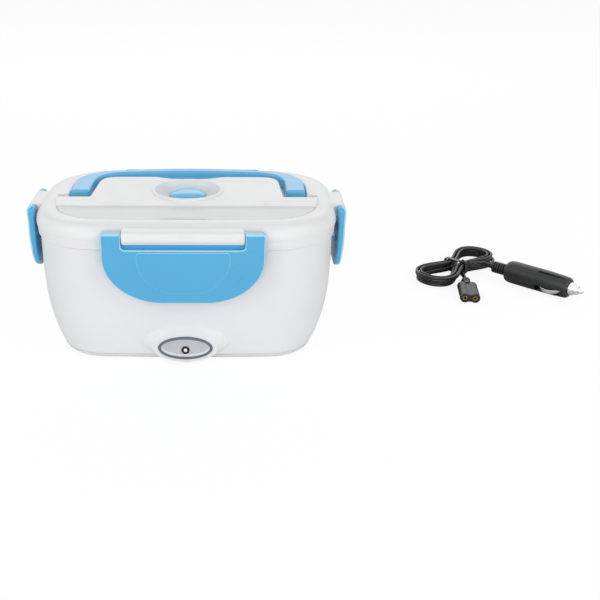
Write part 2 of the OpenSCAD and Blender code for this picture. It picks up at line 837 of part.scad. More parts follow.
module lid_shell() {
    color("#f1f3f4")
    difference() {
        union() {
            difference() {
                union() {
                    difference() {
                        union() {
                            lid_outer();
                            prism(strip_outline(), frame_z - 1, plateau_z);
                        }
                        lid_outer(-lid_wall, roof_t, 2);
                        prism(strip_outline(-2), frame_z - roof_t - 1, plateau_z - 2);
                    }
                    trough_block();
                    prism(island_outline(), trough_z - 2, plateau_z);
                }
                // hollow under the island, open to the liner
                prism(island_outline(-2), trough_z - 3, plateau_z - 2);
            }
            crescent_prism(cover_inset - 2, cover_back + 2, frame_z - cover_plate_t - 2.2, frame_z);
            crescent_prism(cover_inset + recess_lap - 2, compartment_back + 2, compartment_z - 2, frame_z - 1);
            dish_block();
            tabs_trimmed();
            lid_posts();
        }
        difference() {
            trough_cut();
            prism(island_outline(), 0, plateau_z + 10);
        }
        crescent_prism(cover_inset, cover_back, frame_z - cover_plate_t - 0.1, frame_z + 1);
        crescent_prism(cover_inset + recess_lap, compartment_back, compartment_z, frame_z + 1);
        dish_cut();
        for (p = post_points())
            translate([p[0], p[1], liner_z])
                cylinder(h = flange_t + 3.2, r = peg_r + seat_gap / 2);
    }
}

liner_inset = 13.2;
liner_wall = 1.5;
liner_drop = 5.8;
module lid_liner() {
    color("#e4e7e9")
    difference() {
        union() {
            prism(lid_outline(5), liner_z, liner_z + flange_t);
            prism(lid_outline(liner_inset), liner_z - liner_drop, liner_z + flange_t);
            for (p = post_points())
                translate([p[0], p[1], liner_z])
                    cylinder(h = flange_t + 3, r = peg_r);
        }
        prism(lid_outline(liner_inset + liner_wall), liner_z - liner_drop + liner_wall, liner_z + flange_t + 5);
        translate([0, dish_y, liner_z - liner_drop - 1])
            cylinder(h = liner_wall + 2, r = 3);
    }
}

gasket_h = 2.7;
module lid_gasket() {
    color("#c8ccd0")
    difference() {
        prism(lid_outline(6.4), liner_z - gasket_h, liner_z);
        prism(lid_outline(9.6), liner_z - gasket_h - 1, liner_z + 1);
    }
}

module vent_plug() {
    color("#5fb0e0")
    translate([0, dish_y, 0])
        rotate_extrude(angle = 360)
            polygon(concat(
                [[0, dish_floor - 5], [vent_r - 0.9, dish_floor - 5], [vent_r - part_gap, dish_floor - 4],
                    [vent_r - part_gap, dish_floor + part_gap], [plug_r - 0.8, dish_floor + part_gap],
                    [plug_r, dish_floor + 1.4], [plug_r, dish_floor + 2.6]],
                [for (a = [15:15:90]) [plug_r * cos(a), dish_floor + 2.6 + 4.2 * sin(a)]]));
}

module spoon_cover() {
    color("#f1f3f4")
    difference() {
        crescent_prism(cover_inset + part_gap, cover_back - part_gap, frame_z - cover_plate_t + 0.2, frame_z);
        // finger notch in the front edge
        translate([0, -lid_d / 2 + cover_inset - 14, frame_z - cover_plate_t - 1])
            cylinder(h = cover_plate_t + 2, r = 19.5);
    }
}

compartment_back = cover_back - recess_lap + 2;
compartment_front = -lid_d / 2 + cover_inset + recess_lap;
spoon_y = (compartment_back + compartment_front) / 2;
bowl_r = (compartment_back - compartment_front) / 2 - 1.1;
bowl_ball = 17;
spoon_x = -body_w / 2 + 51.5;
module spoon() {
    color("#d7dade")
    translate([spoon_x, spoon_y, compartment_z + 0.4]) {
        difference() {
            translate([0, 0, bowl_ball])
                sphere(r = bowl_ball);
            translate([0, 0, bowl_ball + 0.2])
                sphere(r = bowl_ball - 0.9);
            translate([-bowl_ball, -bowl_ball, bowl_rise])
                cube(2 * bowl_ball + 2);
        }
        difference() {
            translate([0, 0, bowl_rise - 1.1])
                linear_extrude(1.1)
                    polygon([[9, -3.5], [14, -2.6], [90, -3.6], [114, -5.6], [118, -3], [118, 3], [114, 5.6],
                        [90, 3.6], [14, 2.6], [9, 3.5]]);
            translate([0, 0, bowl_ball + 0.2])
                sphere(r = bowl_ball - 0.9);
        }
    }
}
bowl_rise = bowl_ball - sqrt(bowl_ball * bowl_ball - bowl_r * bowl_r);

// ---------------------------------------------------------------- handle

arm_side = handle_w / 2;
bail_r = trough_r - 1.2;
bail_inner_r = 24;
inner_bow = bail_bow - 2;
arm_front = pivot_y - 5;
module handle() {
    color("#79b9e2")
    difference() {
        union() {
            difference() {
                prism(bail_outline(arm_side, arm_front, handle_back, bail_r, bail_bow),
                    handle_top - handle_t, handle_top);
                prism(bail_outline(arm_side - arm_w, arm_front - 1, handle_back - bar_w,
                    bail_inner_r, inner_bow), handle_top - handle_t - 1, handle_top + 1);
            }
            for (s = [-1, 1])
                translate([s * (arm_side - 1), pivot_y, pivot_z])
                    rotate([0, s * 90, 0])
                        cylinder(h = handle_pin_l, r = handle_pin_r);
        }
        // round the lower front edge of each arm
        translate([-arm_side - 1, arm_front, handle_top - handle_t])
            rotate([90, 0, 90])
                linear_extrude(handle_w + 2)
                    polygon(concat([[-1, -1], [3.2, -1]],
                        [for (a = [270:-15:180]) [3.2 + 3.2 * cos(a), 3.2 + 3.2 * sin(a)]], [[-1, 3.2]]));
    }
}

// ---------------------------------------------------------------- clips

plate_in = 2.1;         // plate inside the pivot line
plate_out = ear_r - clip_panel_t;
slope_top = 18;
foot_v = 0.4;
// Profile of a clip in [outward, up]
function clip_profile(drop) = concat(
    [[-plate_in, -drop + 1.6], [-plate_in + 1, -drop], [-plate_in + 1.8, -drop],
        [foot_v, -drop + 2.6], [foot_v + 0.5, -drop + 6],
        [plate_out - 0.7, -slope_top - 10], [plate_out, -slope_top], [plate_out, -bar_drop]],
    [for (a = [0:15:180]) [ear_r * cos(a), ear_r * sin(a)]],
    [[-ear_r, -0.5], [-plate_in, -5]]);

// Outline of a clip in [along, up]
function clip_half(half, ear, drop, a, b) = concat(
    [[half - ear - 2.6, -bar_drop]],
    [for (t = [270:30:360]) [half - ear - 2.6 + 2.6 * cos(t), -bar_drop + 2.6 + 2.6 * sin(t)]],
    [[half - ear, ear_r + 1]],
    [for (t = [90:-30:0]) [half - 4 + 4 * cos(t), ear_r - 3.6 + 4 * sin(t)]],
    [for (t = [0:-10:-90]) [half - a + a * cos(t), -drop + b + b * sin(t)]]);
function clip_outline(w, ear, drop, a, b) = let (h = clip_half(w / 2, ear, drop, a, b))
    concat(h, mirrored(h));

module clip(w, ear, drop, a, b) {
    intersection() {
        along_x(w / 2)
            polygon(clip_profile(drop));
        front_prism(clip_outline(w, ear, drop, a, b), -10, 10);
    }
    for (s = [-1, 1])
        translate([s * (w / 2 - ear + 1), 0, 0])
            rotate([0, -s * 90, 0])
                cylinder(h = clip_pin_l + 1, r = clip_pin_r);
    // hook rib that closes under the catch
    hook_w = w - 2 * ear - 10;
    translate([-hook_w / 2, plate_in - 0.5, catch_z - clip_pivot_z - 4.4])
        cube([hook_w, hook_reach + 0.5, 2.4]);
}
hook_reach = pivot_out - plate_in + skirt_out - catch_out - part_gap;

module raised_panel(half, drop, bottom, a, b) {
    outline = concat(
        [for (t = [90:-30:0]) [half - 2.5 + 2.5 * cos(t), -bar_drop - 1.8 - 2.5 + 2.5 * sin(t)]],
        [for (t = [0:-15:-90]) [half - a + a * cos(t), -drop + b + b * sin(t)]]);
    intersection() {
        translate([0, -clip_panel_t, 0])
            along_x(half + 2)
                polygon(clip_profile(bottom));
        front_prism(concat(outline, mirrored(outline)), -10, 0);
    }
}

module long_clip() {
    clip(long_clip_w, long_ear_w, clip_drop, 42, 35);
    raised_panel(long_clip_w / 2 - 24.5, 43, clip_drop, 26, 27);
}
module short_clip() {
    clip(short_clip_w, short_ear_w, side_clip_drop, 16, 20);
    raised_panel(short_clip_w / 2 - 11, side_clip_drop - 12, side_clip_drop, 10, 14);
}

module clip_front() { color("#6fb6e0") at_side(0) long_clip(); }
module clip_back() { color("#6fb6e0") at_side(1) long_clip(); }
module clip_left() { color("#6fb6e0") at_side(2) short_clip(); }
module clip_right() { color("#6fb6e0") at_side(3) short_clip(); }

// ---------------------------------------------------------------- container and tray

container_bottom = plate_z + plate_t + part_gap;
container_rim_z = seam_z + lip_h + part_gap;
rim_t = 2;
// Extra draw-in of the container's rounded bottom at height h above its floor
function bottom_round(h) = let (q = min(1, h / 12)) 7 * (1 - sqrt(1 - pow(1 - q, 2)));
container_levels = [0, 0.6, 2, 4.5, 8, 12];

module container_skin(inset, z0, z1) {
    loft(concat(
        [for (h = container_levels) lift(body_outline(z0 + h, -inset - bottom_round(h)), z0 + h)],
        [for (t = [0.35, 0.65]) lift(body_outline(z0 + t * (z1 - z0), -inset), z0 + t * (z1 - z0))],
        [lift(body_outline(z1, -inset), z1)]));
}

module food_container() {
    color("#dfe4e8")
    difference() {
        union() {
            container_skin(wall_t + container_gap, container_bottom, container_rim_z + rim_t);
            prism(seam_outline(-lip_inset - 0.2), container_rim_z, container_rim_z + rim_t);
        }
        container_skin(wall_t + container_gap + container_t, container_bottom + container_t,
            container_rim_z + rim_t + 1);
    }
}

tray_end_gap = 24.5;    // room for the container's drawn-in end
tray_x = body_w / 2 - tray_w - tray_end_gap;
tray_r = 17;
tray_z = container_bottom + container_t + part_gap;
module side_tray() {
    color("#cfe3f1")
    translate([tray_x + tray_w / 2, 0, 0])
        difference() {
            rounded_plate(tray_w, tray_d, tray_r, tray_z, tray_z + tray_h);
            rounded_plate(tray_w - 2 * tray_t, tray_d - 2 * tray_t, tray_r - tray_t, tray_z + tray_t,
                tray_z + tray_h + 1);
        }
}

// ---------------------------------------------------------------- lead

// The lead lies on the floor, behind and to the right. Its hank runs along x from the twist tie at 0.
lead_at = [240, 108, 0];
lead_turn = 46;
module at_lead() {
    translate(lead_at)
        rotate([0, 0, lead_turn])
            children();
}

// Section of the flat cord in [across, up], pointed at its narrow edges
cord_flat = cord_w / 2 - 0.8;
cord_section = [[cord_t / 2, -cord_flat], [cord_t / 2, cord_flat], [0, cord_w / 2], [-cord_t / 2, cord_flat],
    [-cord_t / 2, -cord_flat], [0, -cord_w / 2]];
function ring_at(p, dir) = let (side = unit(cross([0, 0, 1], dir)), up = cross(dir, side))
    [for (q = cord_section) p + q[0] * side + q[1] * up];
// Rings along a route whose end faces are square to first and last
function cord_rings(p, first, last) = [for (i = [0:len(p) - 1])
    ring_at(p[i], i == 0 ? first : i == len(p) - 1 ? last : unit(p[i + 1] - p[i - 1]))];

// The hank: it spirals in, climbs one layer along the waist and spirals out again
hank_loops = 4;
hank_rings = 24;
tie_t = 0.7;
tie_gap = 0.4;
hank_step = cord_t + 1.2;
hank_waist = hank_step * hank_loops / 2 + 1.8;
hank_bulge = 34;
hank_pinch = 0.35;
hank_z = tie_t + tie_gap + cord_w / 2;
layer_step = cord_w + 0.5;
climb_turns = 0.25;
function hank_base(a) = [hank_half * cos(a) * (1 - hank_pinch * sin(a) * sin(a)),
    sin(a) * (hank_waist + hank_bulge * cos(a) * cos(a))];
function hank_out(a) = let (d = hank_base(a + 0.1) - hank_base(a - 0.1)) [d[1], -d[0]] / norm(d);
function ease(u) = let (v = min(1, max(0, u))) v * v * (3 - 2 * v);
function hank_point(t) =
    let (a = 270 + 360 * t, p = hank_base(a) - hank_step * min(t, hank_loops - t) * hank_out(a))
    [p[0], p[1], hank_z + layer_step * ease((t - hank_loops / 2) / climb_turns + 0.5)];
hank_route = [for (i = [0:hank_loops * hank_rings]) hank_point(i / hank_rings)];
hank_skin = cord_rings(hank_route, [1, 0, 0], [1, 0, 0]);
hank_top = hank_z + layer_step;

// Least gap between stretches of the hank that lie a third of a turn or more apart
hank_gap = min([for (i = [0:len(hank_route) - 9]) for (j = [i + 8:len(hank_route) - 1])
    if (norm(hank_route[i] - hank_route[j]) < 12) for (a = hank_skin[i]) for (b = hank_skin[j]) norm(a - b)]);

module lead_hank() {
    echo(hank_gap = hank_gap);
    color("#26282c")
    at_lead()
        loft(hank_skin);
}

// Figure-eight connector: the cord enters it at x = 0
connector_r = 4.2;
connector_at = [-22, -24, connector_r + 0.1];
connector_dir = [-0.8, -0.6, 0];
sleeve_r = 1.9;
sleeve_l = 15;
module at_connector() {
    at_lead()
        translate(connector_at)
            rotate([0, 0, atan2(connector_dir[1], connector_dir[0])])
                rotate([0, 90, 0])
                    children();
}

connector_route = smooth_route([connector_at, connector_at - cord_w * connector_dir, [-12, -16.1, 4],
    [-6, -10.2, hank_z + 0.1], hank_route[0]], 4);
module connector_cord() {
    color("#26282c")
    at_lead()
        loft(cord_rings(connector_route, -connector_dir, [1, 0, 0]));
}

module lead_connector() {
    color("#2a2c30")
    at_connector()
        difference() {
            union() {
                rotate_extrude(angle = 360)
                    polygon([[0, 0], [3.4, 0], [4, 0.6], [4, 2.4], [3.3, 2.8], [3.3, 4], [4, 4.4], [4, 6.2],
                        [3.3, 6.6], [3.3, 8], [4.2, 8.6], [4.2, 12], [0, 12]]);
                for (y = [-pin_pitch / 2, pin_pitch / 2])
                    translate([0, y, 10]) {
                        cylinder(h = 3, r1 = 2.6, r2 = connector_r);
                        translate([0, 0, 3])
                            cylinder(h = connector_l - 13, r = connector_r);
                    }
                translate([-3, -pin_pitch / 2, 10])
                    cube([6, pin_pitch, connector_l - 10]);
            }
            for (y = [-pin_pitch / 2, pin_pitch / 2])
                translate([0, y, connector_l - sleeve_l - 1])
                    cylinder(h = sleeve_l + 2, r = sleeve_r + seat_gap);
        }
}

module connector_sleeves() {
    color("#c9a64a")
    at_connector()
        for (y = [-pin_pitch / 2, pin_pitch / 2])
            translate([0, y, connector_l - sleeve_l - 0.9])
                difference() {
                    cylinder(h = sleeve_l, r = sleeve_r);
                    translate([0, 0, 1])
                        cylinder(h = sleeve_l, r = pin_r + 0.05);
                }
}

// Car plug: z runs from the cord to the tip, and its halves meet in the plane of the side contacts
car_plug_at = [13, -31, car_plug_r + 0.1];
car_plug_roll = 25;
module at_car_plug() {
    at_lead()
        translate(car_plug_at)
            rotate([90, 0, 0])
                children();
}

plug_route = smooth_route([hank_route[len(hank_route) - 1], [5, -hank_waist - 1, hank_top],
    [9.4, -13.2, hank_top + 0.2], [12.2, -18, hank_top + 0.7], car_plug_at + [0, 2 * cord_w, -0.1],
    car_plug_at + [0, cord_w, 0], car_plug_at], 3);
module plug_cord() {
    color("#26282c")
    at_lead()
        loft(cord_rings(plug_route, [1, 0, 0], [0, -1, 0]));
}

relief_l = 14;
housing_end = 73;
cavity_r = 5.6;
module plug_strain_relief() {
    color("#232529")
    at_car_plug()
        rotate_extrude(angle = 360)
            polygon(concat(
                [[0, 0], [4, 0]],
                [for (i = [0:4]) for (p = [[5.2, 0.6], [5.2, 2], [4.3, 2.3], [4.3, 2.7]])
                    [p[0], p[1] + 2.4 * i]],
                [[4.3, relief_l + 2], [5.4, relief_l + 2], [5.4, relief_l + 4], [0, relief_l + 4]]));
}

module housing_body() {
    difference() {
        union() {
            rotate_extrude(angle = 360)
                polygon([[4.5, relief_l], [7.2, relief_l], [car_plug_r - 0.8, relief_l + 2],
                    [car_plug_r, relief_l + 5], [car_plug_r, 58], [car_plug_r - 0.9, housing_end - 2],
                    [car_plug_r - 2.4, housing_end], [4.2, housing_end], [4.2, 70], [cavity_r, 70],
                    [cavity_r, relief_l + 1.9], [4.5, relief_l + 1.9]]);
            // small catch on the seam
            translate([0, 0, 22])
                rotate([0, 90, 0])
                    cylinder(h = car_plug_r + 1.4, r = 1.3);
        }
        translate([0, 0, relief_l + 1.9])
            cylinder(h = 70 - relief_l - 1.9, r = cavity_r);
        for (s = [-1, 1])
            translate([s > 0 ? 4 : -14, -2.6, 45])
                cube([10, 5.2, 24]);
        // groove along the front of the upper half
        translate([-0.7, car_plug_r - 1.5, 44])
            cube([1.4, 4, 27]);
    }
}

module plug_half(s) {
    color("#2a2c30")
    at_car_plug()
        rotate([0, 0, car_plug_roll])
            intersection() {
                housing_body();
                translate([-20, s > 0 ? 0.05 : -20.05, 0])
                    cube([40, 20, 80]);
            }
}
module plug_housing_upper() { plug_half(1); }
module plug_housing_lower() { plug_half(-1); }

// Sprung strips that touch the sides of the socket
function bow_strip(n, t) = [for (i = [0:n]) let (u = i / n)
    [car_plug_r - 3.6 + 4.6 * sin(180 * u) - t, 46 + 22 * u]];
module side_contacts() {
    color("#d9dbdd")
    at_car_plug()
        rotate([0, 0, car_plug_roll])
            for (s = [0, 1])
                mirror([s, 0, 0])
                    translate([0, 2, 0])
                        rotate([90, 0, 0])
                            linear_extrude(4)
                                polygon(concat(bow_strip(12, 0), [for (i = [12:-1:0]) bow_strip(12, 0.7)[i]]));
}

tip_travel = 4;
module plug_nut() {
    color("#cfd2d5")
    at_car_plug()
        difference() {
            rotate_extrude(angle = 360)
                polygon([[2, 70.2], [4.1, 70.2], [4.1, housing_end + 0.1], [5.6, housing_end + 0.1],
                    [5.6, 76.4], [4.9, 77], [4.1, 77], [4.1, 80.4], [3.6, 80.8], [2, 80.8]]);
            translate([0, 0, 70])
                cylinder(h = 12, r = 2.3);
        }
}

module plug_tip() {
    color("#d9dbdd")
    at_car_plug() {
        translate([0, 0, 67.4])
            cylinder(h = 2.4, r = 3.6);
        translate([0, 0, 69.8])
            cylinder(h = 13.4, r = 2.25);
        translate([0, 0, 83.2])
            cylinder(h = 1.8, r1 = 2.25, r2 = 1.3);
    }
}

fuse_l = 30;
fuse_z = 67.3 - fuse_l;
module plug_fuse() {
    color("#dfe6ea")
    at_car_plug()
        translate([0, 0, fuse_z]) {
            cylinder(h = fuse_l, r = 2.9);
            cylinder(h = 5, r = 3.2);
            translate([0, 0, fuse_l - 5])
                cylinder(h = 5, r = 3.2);
        }
}

spring_turns = 6;
spring_z = relief_l + 4.5;
module tip_spring() {
    color("silver")
    at_car_plug()
        tube([for (i = [0:spring_turns * 10]) [3 * cos(36 * i), 3 * sin(36 * i),
            spring_z + 0.6 + (fuse_z - spring_z - 1.2) * i / (spring_turns * 10)]], 0.5, 6);
}

// Twist tie round the waist, with a twisted tail
tie_half_w = hank_waist + cord_t / 2 + tie_gap;
tie_inner_top = hank_top + cord_w / 2 + tie_gap;
function tie_outline(g) = [for (p = plan(2 * tie_half_w + 2 * g, tie_inner_top - tie_t + 2 * g, 1.6 + g, 0))
    [p[0], p[1] + (tie_inner_top + tie_t) / 2]];
tail_route = smooth_route([[0, -6, tie_inner_top + 0.4], [0.3, -9, tie_inner_top + 1],
    [1.2, -13, tie_inner_top + 1.4], [2.6, -16, tie_inner_top + 1], [4.2, -18.5, tie_inner_top],
    [5.6, -20, tie_inner_top - 1.6]], 4);
tail_skin = [for (i = [0:len(tail_route) - 1])
    let (dir = tangent(tail_route, i), side = unit(cross([0, 0, 1], dir)), up = cross(dir, side), a = 40 * i)
    [for (k = [0:5]) let (c = 1.1 * cos(60 * k), s = 0.5 * sin(60 * k))
        tail_route[i] + (c * cos(a) - s * sin(a)) * side + (c * sin(a) + s * cos(a)) * up]];
module twist_tie() {
    color("#1f2124")
    at_lead() {
        translate([-2, 0, 0])
            rotate([90, 0, 90])
                linear_extrude(4)
                    difference() {
                        polygon(tie_outline(tie_t));
                        polygon(tie_outline(0));
                    }
        loft(tail_skin);
    }
}

base_shell();
base_cover();
cover_screws();
feet();
heating_plate();
plate_gasket();
ptc_heater();
heater_bracket();
bracket_screws();
thermostat();
thermal_fuse();
inlet_body();
inlet_pins();
wiring();
indicator_board();
indicator_led();
led_resistor();
indicator_panel();
indicator_bezel();
led_ring();
lid_shell();
lid_liner();
lid_gasket();
vent_plug();
spoon_cover();
spoon();
handle();
clip_front();
clip_back();
clip_left();
clip_right();
food_container();
side_tray();
lead_hank();
connector_cord();
plug_cord();
twist_tie();
lead_connector();
connector_sleeves();
plug_strain_relief();
plug_housing_upper();
plug_housing_lower();
side_contacts();
plug_nut();
plug_tip();
plug_fuse();
tip_spring();
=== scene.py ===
import bmesh
import bpy
import json
from math import cos, sin, pi, radians, sqrt
from mathutils import Matrix, Vector


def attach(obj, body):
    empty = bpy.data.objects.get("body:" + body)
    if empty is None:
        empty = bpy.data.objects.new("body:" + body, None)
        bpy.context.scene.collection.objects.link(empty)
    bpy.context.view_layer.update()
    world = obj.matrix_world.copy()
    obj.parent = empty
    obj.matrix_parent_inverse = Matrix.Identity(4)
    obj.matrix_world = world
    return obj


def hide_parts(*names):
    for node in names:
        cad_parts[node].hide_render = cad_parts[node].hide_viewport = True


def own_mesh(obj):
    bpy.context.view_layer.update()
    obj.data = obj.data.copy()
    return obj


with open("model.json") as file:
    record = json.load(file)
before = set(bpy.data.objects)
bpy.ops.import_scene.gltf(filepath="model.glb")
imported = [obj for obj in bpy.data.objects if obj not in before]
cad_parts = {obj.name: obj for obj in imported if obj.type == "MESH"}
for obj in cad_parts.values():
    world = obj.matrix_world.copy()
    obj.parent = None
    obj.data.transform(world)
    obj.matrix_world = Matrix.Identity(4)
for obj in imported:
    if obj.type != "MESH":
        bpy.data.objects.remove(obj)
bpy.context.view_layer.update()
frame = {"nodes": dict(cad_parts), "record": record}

# An electric lunch box and its 12 V lead. Lengths are in millimetres, and MM takes them to the frame's metres.
# The origin is on the floor under the middle of the box, +X to the right, +Z up, and the front faces -Y.
MM = 0.001


# ---------------------------------------------------------------- camera
# fitted to points of the photograph, with its angles in degrees
CAMERA_AT = Vector((34.65, -686.38, 318.30))
CAMERA_YAW, CAMERA_PITCH, CAMERA_ROLL = 0.095, 23.626, 0.192
CAMERA_LENS, CAMERA_SENSOR, CAMERA_SHIFT = 55.54, 36, 0.110


def make_camera():
    yaw, pitch, roll = radians(CAMERA_YAW), radians(CAMERA_PITCH), radians(CAMERA_ROLL)
    forward = Vector((sin(yaw) * cos(pitch), cos(yaw) * cos(pitch), -sin(pitch)))
    right = Vector((cos(yaw), -sin(yaw), 0))
    up = right.cross(forward)
    level = right * cos(roll) + up * sin(roll)
    top = up * cos(roll) - right * sin(roll)
    data = bpy.data.cameras.new("camera")
    data.lens = CAMERA_LENS
    data.sensor_width = CAMERA_SENSOR
    data.shift_x = CAMERA_SHIFT
    data.clip_start = 0.01
    camera = bpy.data.objects.new("camera", data)
    pose = Matrix((level, top, -forward)).transposed().to_4x4()
    pose.translation = CAMERA_AT * MM
    camera.matrix_world = pose
    bpy.context.collection.objects.link(camera)
    bpy.context.scene.camera = camera


make_camera()


# ---------------------------------------------------------------- materials
# scales of the noise behind clouds in a colour, smudges in a gloss and drawn lines in a metal
CLOUDS, SMUDGES, LINES = 22, 60, 300


class Shader:
    """A Principled material whose colour, roughness and surface vary a little."""

    def __init__(self, name):
        self.material = bpy.data.materials.new(name)
        self.material.use_nodes = True
        self.tree = self.material.node_tree
        self.surface = self.tree.nodes["Principled BSDF"]
        self.place = self.node("ShaderNodeTexCoord").outputs["Object"]

    def node(self, kind, **settings):
        made = self.tree.nodes.new(kind)
        for key, value in settings.items():
            setattr(made, key, value)
        return made

    def link(self, a, b):
        self.tree.links.new(a, b)

    def noise(self, scale, detail=3.0, place=None):
        made = self.node("ShaderNodeTexNoise")
        made.inputs["Scale"].default_value = scale
        made.inputs["Detail"].default_value = detail
        self.link(place or self.place, made.inputs["Vector"])
        return made.outputs["Fac"]

    def spread(self, value, low, high, start=0.3, end=0.7):
        """A value that runs from start to end taken to run from low to high."""
        made = self.node("ShaderNodeMapRange")
        made.inputs["From Min"].default_value = start
        made.inputs["From Max"].default_value = end
        made.inputs["To Min"].default_value = low
        made.inputs["To Max"].default_value = high
        self.link(value, made.inputs["Value"])
        return made.outputs["Result"]

    def mix(self, factor, a, b):
        """Two colours, each a tuple or another node's output, mixed by a factor."""
        made = self.node("ShaderNodeMix", data_type="RGBA")
        self.link(factor, made.inputs["Factor"])
        for socket, colour in ((made.inputs["A"], a), (made.inputs["B"], b)):
            if isinstance(colour, tuple):
                socket.default_value = (*colour, 1)
            else:
                self.link(colour, socket)
        return made.outputs["Result"]

    def set(self, **values):
        """Sets the surface's inputs, named with _ for each space."""
        for key, value in values.items():
            self.surface.inputs[key.replace("_", " ")].default_value = value

    def bump(self, height, strength, distance=0.0002):
        made = self.node("ShaderNodeBump")
        made.inputs["Strength"].default_value = strength
        made.inputs["Distance"].default_value = distance
        self.link(height, made.inputs["Height"])
        self.link(made.outputs["Normal"], self.surface.inputs["Normal"])


def linear(colour):
    """Linear values of an sRGB colour given in 0 to 255."""
    return tuple((c / 255 / 12.92) if c <= 10 else ((c / 255 + 0.055) / 1.055) ** 2.4 for c in colour)


def plastic(name, colour, rough, vary=0.02, grain=0.03, grain_scale=1400, rim=None, **more):
    """A moulded plastic: faint clouds in the colour, a fine grain and, on the faces that carry the rim
    attribute, a painted highlight in the rim colour.
    """
    shader = Shader(name)
    base = linear(colour)
    dark = tuple(c * (1 - vary) for c in base)
    light = tuple(min(1.0, c * (1 + vary)) for c in base)
    cloud = shader.spread(shader.noise(CLOUDS), 0, 1)
    tint = shader.mix(cloud, dark, light)
    # faces that carry the rim attribute get the rim colour, a painted highlight
    if rim:
        highlight_mask = shader.node("ShaderNodeAttribute", attribute_name="rim").outputs["Fac"]
        tint = shader.mix(highlight_mask, tint, linear(rim))
    shader.link(tint, shader.surface.inputs["Base Color"])
    gloss = shader.spread(shader.noise(SMUDGES, 5), rough * 0.9, rough * 1.1)
    shader.link(gloss, shader.surface.inputs["Roughness"])
    shader.bump(shader.noise(grain_scale, 2), grain)
    shader.set(**more)
    return shader.material


def metal(name, colour, rough, stretch=(1, 1, 1), **more):
    """A metal with fine drawn lines along its least stretched axis."""
    shader = Shader(name)
    mapping = shader.node("ShaderNodeMapping")
    mapping.inputs["Scale"].default_value = stretch
    shader.link(shader.place, mapping.inputs["Vector"])
    lines = shader.noise(LINES, 4, mapping.outputs["Vector"])
    base = linear(colour)
    shader.link(shader.mix(shader.spread(lines, 0, 1), tuple(c * 0.92 for c in base), base),
                shader.surface.inputs["Base Color"])
    shader.link(shader.spread(lines, rough * 0.8, rough * 1.2), shader.surface.inputs["Roughness"])
    shader.bump(lines, 0.05)
    shader.set(Metallic=1.0, **more)
    return shader.material


SKINS = {
    "white_shell": plastic("white_shell", (236, 237, 238), 0.38),
    "white_trim": plastic("white_trim", (228, 229, 229), 0.42),
    "white_lid": plastic("white_lid", (238, 239, 239), 0.36),
    # rim: a painted highlight along the clips' rounded edges
    "blue_gloss": plastic("blue_gloss", (91, 179, 225), 0.3, vary=0.015, rim=(176, 222, 243),
                          Coat_Weight=0.1, Coat_Roughness=0.1, Specular_IOR_Level=0.3),
    "blue_soft": plastic("blue_soft", (96, 185, 234), 0.34, vary=0.015, Coat_Weight=0.35,
                         Coat_Roughness=0.14),
    # rim: a painted highlight on the panel's sloping lip
    "grey_panel": plastic("grey_panel", (198, 199, 205), 0.4, rim=(228, 231, 238)),
    "grey_bezel": plastic("grey_bezel", (104, 111, 126), 0.3),
    "black_plastic": plastic("black_plastic", (17, 18, 20), 0.4, vary=0.06, grain=0.08),
    "black_gloss": plastic("black_gloss", (24, 25, 28), 0.22, vary=0.05),
    "lens": plastic("lens", (244, 246, 238), 0.15),
    "foot_rubber": plastic("foot_rubber", (200, 204, 207), 0.7, grain=0.1),
    "gasket_rubber": plastic("gasket_rubber", (190, 194, 197), 0.6, grain=0.1),
    "screw_steel": metal("screw_steel", (196, 197, 198), 0.3),
    "heat_plate": metal("heat_plate", (205, 206, 208), 0.32, (1, 9, 1)),
    "heater_block": metal("heater_block", (180, 182, 184), 0.38, (7, 1, 1)),
    "bracket_steel": metal("bracket_steel", (168, 171, 174), 0.34, (1, 8, 1)),
    "brown_case": plastic("brown_case", (86, 66, 50), 0.5),
    "fuse_sleeve": plastic("fuse_sleeve", (214, 209, 196), 0.6),
    "contact_brass": metal("contact_brass", (201, 166, 84), 0.28),
    "wire_insulation": plastic("wire_insulation", (170, 52, 42), 0.4),
    "board_green": plastic("board_green", (42, 115, 76), 0.4),
    "tan_ceramic": plastic("tan_ceramic", (212, 192, 152), 0.6),
    "inner_white": plastic("inner_white", (226, 229, 231), 0.5),
    "food_plastic": plastic("food_plastic", (220, 226, 231), 0.45),
    "tray_plastic": plastic("tray_plastic", (196, 222, 240), 0.25),
    "spoon_plastic": plastic("spoon_plastic", (214, 218, 221), 0.22),
    "cord_black": plastic("cord_black", (16, 17, 19), 0.36, vary=0.06, grain=0.05),
    "plug_silver": metal("plug_silver", (232, 232, 230), 0.2, (1, 1, 0.2)),
    "fuse_glass": plastic("fuse_glass", (230, 236, 239), 0.08, Transmission_Weight=0.85),
    "spring_steel": metal("spring_steel", (190, 192, 195), 0.25),
}


# ---------------------------------------------------------------- pieces
# points closer than this are one, in metres
WELD = 2e-6
# a face takes the painted highlight if the cosine of its angle to the front lies between these
HIGHLIGHT_FROM, HIGHLIGHT_TO = 0.12, 0.93


def make(name, points, faces, body=None, skin=None, *nodes, pose=None, sharp=35):
    """A piece of the model, on its body, in place of its CAD nodes."""
    mesh = bpy.data.meshes.new(name)
    pose = pose or Matrix.Identity(4)
    mesh.from_pydata([(pose @ Vector(p)) * MM for p in points], [], faces)
    piece = bpy.data.objects.new(name, mesh)
    bpy.context.collection.objects.link(piece)
    tidy(piece, sharp)
    if body:
        declare(piece, body, skin, *nodes)
    return piece


def tidy(piece, sharp=35):
    """Faces outward, smooth but for the edges sharper than so many degrees."""
    work = bmesh.new()
    work.from_mesh(piece.data)
    bmesh.ops.remove_doubles(work, verts=work.verts, dist=WELD)
    bmesh.ops.recalc_face_normals(work, faces=work.faces)
    for face in work.faces:
        face.smooth = True
    for edge in work.edges:
        edge.smooth = len(edge.link_faces) == 2 and edge.calc_face_angle(0) < radians(sharp)
    work.to_mesh(piece.data)
    work.free()


